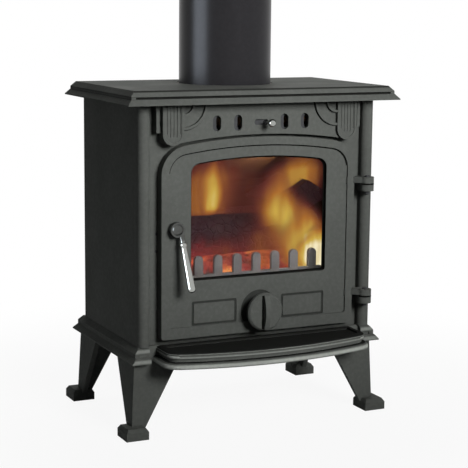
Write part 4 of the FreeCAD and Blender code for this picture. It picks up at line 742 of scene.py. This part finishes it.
class STOVE_OT_bright_pieces(bpy.types.Operator):
    """Plates the lever and the slide knob, and leaves the working steel bare"""

    bl_idname = "stove.bright_pieces"
    bl_label = "Bright pieces"

    def execute(self, context):
        look = context.scene.stove_finishes
        smudge_group()
        chrome = metal_material("wiped_chrome", look.chrome, roughness=0.16, rub=0.12)
        steel = metal_material("plain_steel", look.steel, roughness=0.42, rub=0.5)
        finish(CHROME_PIECES, chrome, look.fine_edge)
        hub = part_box("handle_cap")[0].z
        # Painted dark reflection on the lever's hub.
        reflecting_dark = metal_material("dark_reflection_chrome", look.chrome, roughness=0.2, rub=0.12,
                                   dark_above=hub - REFLECTION_DROP)
        finish(LATCH_CHROME, reflecting_dark, look.fine_edge)
        finish(STEEL_PIECES, steel, look.fine_edge)
        return {"FINISHED"}


class STOVE_OT_door(bpy.types.Operator):
    """Finishes the door, its glass, its rope seals and the air knob, and paints shade into corners,
    grooves and the window's reveal
    """

    bl_idname = "stove.door"
    bl_label = "Door"

    def execute(self, context):
        look = context.scene.stove_finishes
        iron = bpy.data.materials["satin_black_iron"]
        finish(("door", "air_knob"), iron, look.edge)
        # Near black film of painted shade for the lines and films below.
        painted_shade = cast_material("painted_shade_film", NEAR_BLACK, roughness=0.8)
        # Painted shade under the door's relief where its walls face down.
        relief_line("door", painted_shade, RIM_LINE, Vector((0, 0, -1)))
        hinge_shade_lines(painted_shade)
        # Painted shadow on the knob's face, left of its bar.
        relief_line("air_knob", painted_shade, FIN_LINE, Vector((-1, 0, 0)))
        # Painted shade at the foot of every relief wall of the header.
        relief_line("header", painted_shade, RELIEF_LINE)
        # Painted shade: the window's reveal walls are blacked.
        face_film("door", "_window_shade", painted_shade, window_wall)
        # Black lip around the glass: partly the gasket's edge, partly painted shade.
        gasket_lip("door", painted_shade)
        # Fainter painted shade on the floors of the door's shallow grooves.
        thin = cast_material("faint_painted_shade", FAINT_SHADE, roughness=0.8)
        face_film("door", "_groove_shade", thin, groove_floor)
        finished_copy("door_glass", glass_material(), look.fine_edge)
        finish(ROPE_PIECES, rope_material(look.rope))
        return {"FINISHED"}


class STOVE_OT_fasteners(bpy.types.Operator):
    """Blacks the bolts and screws"""

    bl_idname = "stove.fasteners"
    bl_label = "Fasteners"

    def execute(self, context):
        look = context.scene.stove_finishes
        blacked = cast_material("blacked_steel", look.pan, roughness=0.45, pit=0.0001,
                                Grain=900.0, Cloud=0.3, Dust=0.05)
        finish(BLACK_FASTENERS, blacked, look.fine_edge)
        return {"FINISHED"}


class STOVE_OT_flue(bpy.types.Operator):
    """Enamels the flue pipe and blacks its collar"""

    bl_idname = "stove.flue"
    bl_label = "Flue"

    def execute(self, context):
        look = context.scene.stove_finishes
        enamel = cast_material("flue_enamel", look.enamel, roughness=0.3, pit=0.00004,
                               gloss=0.1, Grain=500.0, Cloud=0.15, Dust=0.05)
        finished_copy("flue_pipe", enamel, look.fine_edge)
        iron = bpy.data.materials["satin_black_iron"]
        finished_copy("flue_collar", iron, look.edge)
        return {"FINISHED"}


class STOVE_OT_lining(bpy.types.Operator):
    """Finishes the bricks, the grate, the guard, the baffle and the ash pan"""

    bl_idname = "stove.lining"
    bl_label = "Lining"

    def execute(self, context):
        look = context.scene.stove_finishes
        finish(BRICK_PIECES, brick_material(look.brick), look.edge)
        scale = cast_material("heat_scaled_iron", look.hot_iron, roughness=0.7, pit=0.0003,
                              Grain=420.0, Cloud=0.35, Dust=0.2)
        finish(HOT_IRON, scale, look.edge)
        pan = cast_material("pan_enamel", look.pan, roughness=0.4, pit=0.00005, Grain=500.0,
                            Dust=0.3)
        finished_copy("ash_pan", pan, look.fine_edge)
        return {"FINISHED"}


def skinned(rings, ring_at):
    """Shape skinned over a row of rings of spots, closed at both ends."""
    shape = bmesh.new()
    loops = [[shape.verts.new(spot) for spot in ring_at(ring / rings)] for ring in range(rings + 1)]
    count = len(loops[0])
    for first, second in zip(loops, loops[1:]):
        for side in range(count):
            after = (side + 1) % count
            loop = (first[side], first[after], second[after], second[side])
            shape.faces.new(loop).smooth = True
    shape.faces.new(list(reversed(loops[0])))
    shape.faces.new(loops[-1])
    bmesh.ops.recalc_face_normals(shape, faces=shape.faces)
    return shape


def round_log(node, bark, seed):
    """Knobbly round log lying along X in the place of its solid."""
    low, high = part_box(node)
    middle = (low + high) / 2
    radius = (high.z - low.z) / 2

    def ring_at(share):
        x = low.x + (high.x - low.x) * share
        for side in range(LOG_SIDES):
            angle = math.tau * side / LOG_SIDES
            y, z = math.cos(angle), math.sin(angle)
            swell = noise.noise(Vector((share * 3.0 + seed, y * 1.4, z * 1.4)))
            ridge = noise.noise(Vector((share * 16.0 + seed, y * 6.0, z * 6.0)))
            reach = radius * (1.0 - bark + bark * (0.65 * swell + 0.35 * ridge))
            yield x, middle.y + y * reach, middle.z + z * reach

    return skinned(LOG_RINGS, ring_at)


def split_log(node, bark, seed):
    """Split log with torn faces, lying along Y in the place of its solid."""
    low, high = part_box(node)
    ridge = low.x + 0.6 * (high.x - low.x)
    tall = high.z - low.z
    corners = [Vector((low.x, 0, low.z + 0.23 * tall)), Vector((ridge, 0, low.z)),
               Vector((high.x, 0, low.z + 0.42 * tall)), Vector((ridge, 0, high.z))]
    middle = sum(corners, Vector()) / len(corners)

    def ring_at(share):
        for corner, after in zip(corners, corners[1:] + corners[:1]):
            for step in range(SPLIT_STEPS):
                spot = corner.lerp(after, step / SPLIT_STEPS)
                tear = noise.noise(Vector((spot.x * 90.0, share * 3.0 + seed, spot.z * 90.0)))
                spot = middle.lerp(spot, 1.0 - bark * (0.5 - 0.5 * tear))
                spot.y = low.y + (high.y - low.y) * share
                yield spot

    return skinned(SPLIT_RINGS, ring_at)


def add_tongue(shape, foot, tip, width, depth, heat):
    """Closed lens shaped flame from foot to tip, hot along its middle and cold at its rim."""
    core = shape.verts.layers.float["core"]
    foot = Vector(foot)
    rise = Vector(tip) - foot
    corners = []
    for side in (-1.0, 1.0):
        rows = []
        for row in range(TONGUE_ROWS + 1):
            share = row / TONGUE_ROWS
            swell = math.sin(math.pi * min(1.0, share * 0.8 + 0.2)) ** 0.8
            sway = 0.35 * width * noise.noise(Vector((foot.x * 40.0, foot.y * 40.0, share * 2.2)))
            fade = min(1.0, (1.0 - share) * 2.2) * min(1.0, share * 6.0 + 0.25)
            line = []
            for column in range(TONGUE_COLUMNS + 1):
                reach = 2.0 * column / TONGUE_COLUMNS - 1.0
                rim = 1.0 - reach * reach
                place = foot + rise * share
                place.x += reach * 0.5 * width * swell + sway * share
                place.y += side * 0.5 * depth * swell * rim
                vert = shape.verts.new(place)
                vert[core] = heat * rim ** 1.5 * fade
                line.append(vert)
            rows.append(line)
        for lower, upper in zip(rows, rows[1:]):
            for column in range(TONGUE_COLUMNS):
                loop = [lower[column], lower[column + 1], upper[column + 1], upper[column]]
                shape.faces.new(loop if side < 0 else list(reversed(loop))).smooth = True
        corners += [vert for line in rows for vert in line]
    bmesh.ops.remove_doubles(shape, verts=corners, dist=MERGE_DISTANCE)


# Foot, tip, width, depth and heat of each tongue of flame.
FLAMES = (
    ((0.000, 0.040, 0.300), (0.004, 0.024, 0.480), 0.385, 0.004, 0.30),
    ((-0.032, 0.026, 0.330), (-0.030, 0.016, 0.450), 0.060, 0.010, 0.80),
    ((-0.040, 0.034, 0.320), (-0.040, 0.022, 0.460), 0.170, 0.010, 0.48),
    ((0.112, 0.010, 0.340), (0.122, 0.000, 0.460), 0.160, 0.010, 0.58),
    ((0.132, -0.037, 0.225), (0.046, -0.030, 0.440), 0.150, 0.008, 0.74),
    ((0.140, -0.040, 0.215), (0.100, -0.036, 0.372), 0.140, 0.006, 0.88),
    ((0.140, -0.042, 0.232), (0.130, -0.041, 0.325), 0.100, 0.004, 1.10),
    ((0.040, -0.041, 0.240), (0.020, -0.040, 0.355), 0.200, 0.005, 0.36),
    ((-0.130, -0.041, 0.246), (-0.128, -0.041, 0.318), 0.120, 0.005, 0.24),
    ((-0.050, -0.041, 0.246), (-0.056, -0.041, 0.322), 0.130, 0.005, 0.32),
)
FIRE_GLOW = (0.06, -0.02, 0.40)
GLOW_COLOUR = (1.0, 0.42, 0.14)
GLOW_RADIUS = 0.04


class STOVE_OT_fire(bpy.types.Operator):
    """Lays the ember bed, the logs and the flames"""

    bl_idname = "stove.fire"
    bl_label = "Fire"

    def execute(self, context):
        fire = context.scene.stove_fire
        charred = charred_material()
        for node, cut, turn in (("log_front", round_log, 0), ("log_rear", round_log, 1),
                                ("log_split", split_log, 0)):
            shape = cut(node, fire.bark, fire.seed + turn)
            settle(node + "_bark", shape, charred, node, True)
        bed = ember_bed(fire, ember_material(fire.ember_strength))
        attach(bed, frame["nodes"]["fire_grate"]["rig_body"])
        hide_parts("ember_bed")
        shape = bmesh.new()
        shape.verts.layers.float.new("core")
        for tongue in FLAMES:
            add_tongue(shape, *tongue)
        settle("flames", shape, flame_material(fire.flame_strength), "fire_grate")
        data = bpy.data.lights.new("fire_glow", "POINT")
        data.energy = fire.glow_power
        data.color = GLOW_COLOUR
        data.shadow_soft_size = GLOW_RADIUS
        glow = add_object("fire_glow", data, FIRE_GLOW)
        glow.visible_camera = False
        glow.visible_glossy = False
        glow.visible_transmission = False
        return {"FINISHED"}


CROWN_LEAN = 0.2
EMBER_DENSITY = 12000.0
EMBER_TURNS = ((0.0, 0.0, 0.0), (math.tau, math.tau, math.tau))
EMBER_SCALES = ((0.45, 0.35, 0.35), (1.0, 0.9, 0.8))


def ember_tree():
    """Geometry nodes that scatter lumps of coal over a bed and join them to it."""
    tree = bpy.data.node_groups.new("ember_scatter", "GeometryNodeTree")
    for label, kind in (("Bed", "Geometry"), ("Count", "Int"), ("Size", "Float"), ("Seed", "Int"),
                        ("Coal", "Material")):
        tree.interface.new_socket(label, in_out="INPUT", socket_type="NodeSocket" + kind)
    tree.interface.new_socket("Embers", in_out="OUTPUT", socket_type="NodeSocketGeometry")
    g = Graph(tree)
    given = g.add("NodeGroupInput").outputs
    crown = g.add("FunctionNodeCompare", {"data_type": "FLOAT", "operation": "GREATER_THAN"})
    g.feed(crown.inputs[0], g.split(g.add("GeometryNodeInputNormal").outputs[0])["Z"])
    g.feed(crown.inputs[1], CROWN_LEAN)
    spread = g.add("GeometryNodeDistributePointsOnFaces", Mesh=given["Bed"],
                   Selection=crown.outputs[0], Density=EMBER_DENSITY, Seed=given["Seed"])
    beyond = g.add("FunctionNodeCompare", {"data_type": "INT", "operation": "GREATER_EQUAL"})
    g.feed(beyond.inputs[2], g.add("GeometryNodeInputIndex").outputs[0])
    g.feed(beyond.inputs[3], given["Count"])
    thinned = g.add("GeometryNodeDeleteGeometry", {"domain": "POINT"},
                    Geometry=spread.outputs["Points"], Selection=beyond.outputs[0])
    lump = g.add("GeometryNodeMeshIcoSphere", Radius=given["Size"], Subdivisions=2)
    turn, size = (g.add("FunctionNodeRandomValue", {"data_type": "FLOAT_VECTOR"}, Min=least,
                        Max=most, Seed=given["Seed"])
                  for least, most in (EMBER_TURNS, EMBER_SCALES))
    placed = g.add("GeometryNodeInstanceOnPoints", Points=thinned.outputs[0],
                   Instance=lump.outputs["Mesh"], Rotation=turn.outputs[0], Scale=size.outputs[0])
    joined = g.add("GeometryNodeJoinGeometry", Geometry=placed.outputs[0])
    g.fill(joined, Geometry=given["Bed"])
    real = g.add("GeometryNodeRealizeInstances", Geometry=joined.outputs[0])
    painted = g.add("GeometryNodeSetMaterial", Geometry=real.outputs[0], Material=given["Coal"])
    g.add("NodeGroupOutput", Embers=painted.outputs[0])
    return tree


def ember_bed(fire, material):
    """Heap of glowing coals on the grate, as one plain mesh."""
    low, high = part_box("ember_bed")
    inset = Vector((fire.ember_size, fire.ember_size, 0))
    near, far = low + inset, high - inset
    crown = high.z - low.z - fire.ember_size
    shape = bmesh.new()
    rows = []
    for j in range(BED_STEPS + 1):
        row = []
        for i in range(BED_STEPS + 1):
            u, v = i / BED_STEPS, j / BED_STEPS
            heap = (math.sin(math.pi * u) * math.sin(math.pi * v)) ** 0.3
            lumps = noise.noise(Vector((u * 7.0, v * 7.0, fire.seed)))
            z = low.z + fire.ember_size + (crown - fire.ember_size) * heap * (0.9 + 0.1 * lumps)
            row.append(shape.verts.new((near.x + (far.x - near.x) * u,
                                        near.y + (far.y - near.y) * v, z)))
        rows.append(row)
    for first, second in zip(rows, rows[1:]):
        for i in range(BED_STEPS):
            shape.faces.new((first[i], first[i + 1], second[i + 1], second[i]))
    rim = [line for line in shape.edges if line.is_boundary]
    for part in bmesh.ops.extrude_edge_only(shape, edges=rim)["geom"]:
        if isinstance(part, bmesh.types.BMVert):
            part.co.z = low.z
    bmesh.ops.holes_fill(shape, edges=[line for line in shape.edges if line.is_boundary], sides=0)
    bmesh.ops.recalc_face_normals(shape, faces=shape.faces)
    bed = add_object("ember_heap", mesh_from("ember_bed_top", shape))
    scatter = bed.modifiers.new("ember_scatter", "NODES")
    scatter.node_group = ember_tree()
    values = {"Count": fire.ember_count, "Size": fire.ember_size, "Seed": fire.seed,
              "Coal": material}
    for item in scatter.node_group.interface.items_tree:
        if item.name in values:
            scatter[item.identifier] = values[item.name]
    lumpy = bed.evaluated_get(bpy.context.evaluated_depsgraph_get())
    plain = bpy.data.meshes.new_from_object(lumpy)
    bed.modifiers.remove(scatter)
    bed.data = plain
    return bed


def area_light(name, power, place, target, width, height, colour=(1, 1, 1)):
    """Soft rectangular light aimed at a point."""
    data = bpy.data.lights.new(name, "AREA")
    data.shape = "RECTANGLE"
    data.size, data.size_y = width, height
    data.energy = power
    data.color = colour
    lamp = add_object(name, data, place)
    lamp.rotation_euler = (Vector(target) - Vector(place)).to_track_quat("-Z", "Y").to_euler()
    return lamp


def seen_white(g):
    """1 for the rays that show the background itself: seen, mirrored or looked through to."""
    path = g.add("ShaderNodeLightPath").outputs
    seen = g.math("MAXIMUM", path["Is Camera Ray"], path["Is Glossy Ray"])
    return g.math("MAXIMUM", seen, path["Is Transmission Ray"])


CAMERA_PLACE = Vector((-1.0229, -2.1445, 0.6961))
CAMERA_YAW = math.radians(25.52)
CAMERA_PITCH = math.radians(9.41)
CAMERA_ROLL = math.radians(-0.55)
CAMERA_LENS = 109.79
CAMERA_SENSOR = 36.0
CAMERA_FAR = 100.0
KEY_LIGHT = ((0.26, -1.92, 1.15), (0, -0.1, 0.62), 0.7, 0.7)
KEY_SPREAD = math.radians(50)
TOP_LIGHT = ((0.3, 0.75, 1.75), (0, 0.05, 0.55), 0.8, 0.5)
STRIP_LIGHT = ((-2.5, 0.0, 0.75), (0, 0, 0.6), 1.6, 1.8, (0.80, 0.88, 1.0))
FLOOR_HALF = 20.0
VEIL_REACH = (0.30, 0.95)


class STOVE_OT_stage(bpy.types.Operator):
    """Sets the floor, the lights and the camera"""

    bl_idname = "stove.stage"
    bl_label = "Stage"

    def execute(self, context):
        scene = context.scene
        stage = scene.stove_stage
        self.add_floor(stage)
        key = area_light("key_light", stage.key_power, *KEY_LIGHT)
        top = area_light("top_light", stage.top_power, *TOP_LIGHT)
        strip = area_light("strip_light", stage.strip_power, *STRIP_LIGHT)
        key.visible_glossy = False
        key.data.spread = KEY_SPREAD
        strip.visible_diffuse = False
        self.add_world(scene, stage)
        self.add_camera(scene)
        scene.view_settings.view_transform = "Standard"
        return {"FINISHED"}

    def add_floor(self, stage):
        shape = bmesh.new()
        bmesh.ops.create_grid(shape, x_segments=1, y_segments=1, size=FLOOR_HALF)
        material, g, shader = new_material("pale_floor")
        place = g.place()
        tone = g.mix(g.noise(place, 30.0), full(stage.floor), full(stage.floor, 0.97))
        g.fill(shader, Base_Color=tone, Roughness=0.9, Specular_IOR_Level=0.1)
        reach = g.add("ShaderNodeVectorMath", {"operation": "LENGTH"}, Vector=place)
        away = g.span(reach.outputs["Value"], *VEIL_REACH, stage.veil, 1.0)
        blend = g.add("ShaderNodeMixShader", Fac=g.times(away, seen_white(g)))
        g.feed(blend.inputs[1], shader.outputs[0])
        g.feed(blend.inputs[2], g.add("ShaderNodeEmission").outputs[0])
        g.fill(g.tree.nodes["Material Output"], Surface=blend.outputs[0])
        mesh = mesh_from("floor", shape)
        mesh.materials.append(material)
        add_object("floor", mesh)

    def add_world(self, scene, stage):
        world = bpy.data.worlds.new("studio")
        world.use_nodes = True
        scene.world = world
        g = Graph(world.node_tree)
        g.fill(world.node_tree.nodes["Background"], Color=WHITE,
               Strength=g.math("MAXIMUM", seen_white(g), stage.ambient))

    def add_camera(self, scene):
        ahead = Vector((math.sin(CAMERA_YAW) * math.cos(CAMERA_PITCH),
                        math.cos(CAMERA_YAW) * math.cos(CAMERA_PITCH), -math.sin(CAMERA_PITCH)))
        across = ahead.cross(Vector((0, 0, 1))).normalized()
        down = ahead.cross(across)
        right = math.cos(CAMERA_ROLL) * across + math.sin(CAMERA_ROLL) * down
        below = -math.sin(CAMERA_ROLL) * across + math.cos(CAMERA_ROLL) * down
        data = bpy.data.cameras.new("photo_camera")
        data.lens = CAMERA_LENS
        data.sensor_width = CAMERA_SENSOR
        data.clip_end = CAMERA_FAR
        camera = add_object("photo_camera", data)
        turn = Matrix((right, -below, -ahead)).transposed().to_4x4()
        camera.matrix_world = Matrix.Translation(CAMERA_PLACE) @ turn
        scene.camera = camera


class STOVE_PT_panel(bpy.types.Panel):
    """Shows the stove's operators and the settings of its finishes, fire and stage"""

    bl_idname = "STOVE_PT_panel"
    bl_label = "Cast Iron Wood Stove"
    bl_space_type = "VIEW_3D"
    bl_region_type = "UI"
    bl_category = "Stove"

    def draw(self, context):
        layout = self.layout
        for operator in OPERATORS:
            layout.operator(operator.bl_idname)
        for group in (context.scene.stove_finishes, context.scene.stove_fire,
                      context.scene.stove_stage):
            box = layout.box()
            for name in group.__annotations__:
                box.prop(group, name)


OPERATORS = (STOVE_OT_castings, STOVE_OT_bright_pieces, STOVE_OT_door, STOVE_OT_fasteners,
             STOVE_OT_flue, STOVE_OT_lining, STOVE_OT_fire, STOVE_OT_stage)
CLASSES = (StoveFinishes, StoveFire, StoveStage) + OPERATORS + (STOVE_PT_panel,)


def register():
    for cls in CLASSES:
        bpy.utils.register_class(cls)
    bpy.types.Scene.stove_finishes = PointerProperty(type=StoveFinishes)
    bpy.types.Scene.stove_fire = PointerProperty(type=StoveFire)
    bpy.types.Scene.stove_stage = PointerProperty(type=StoveStage)


def unregister():
    del bpy.types.Scene.stove_stage
    del bpy.types.Scene.stove_fire
    del bpy.types.Scene.stove_finishes
    for cls in reversed(CLASSES):
        bpy.utils.unregister_class(cls)


def main():
    register()
    bpy.ops.stove.castings()
    bpy.ops.stove.bright_pieces()
    bpy.ops.stove.door()
    bpy.ops.stove.fasteners()
    bpy.ops.stove.flue()
    bpy.ops.stove.lining()
    bpy.ops.stove.fire()
    bpy.ops.stove.stage()


if __name__ == "__main__":
    main()
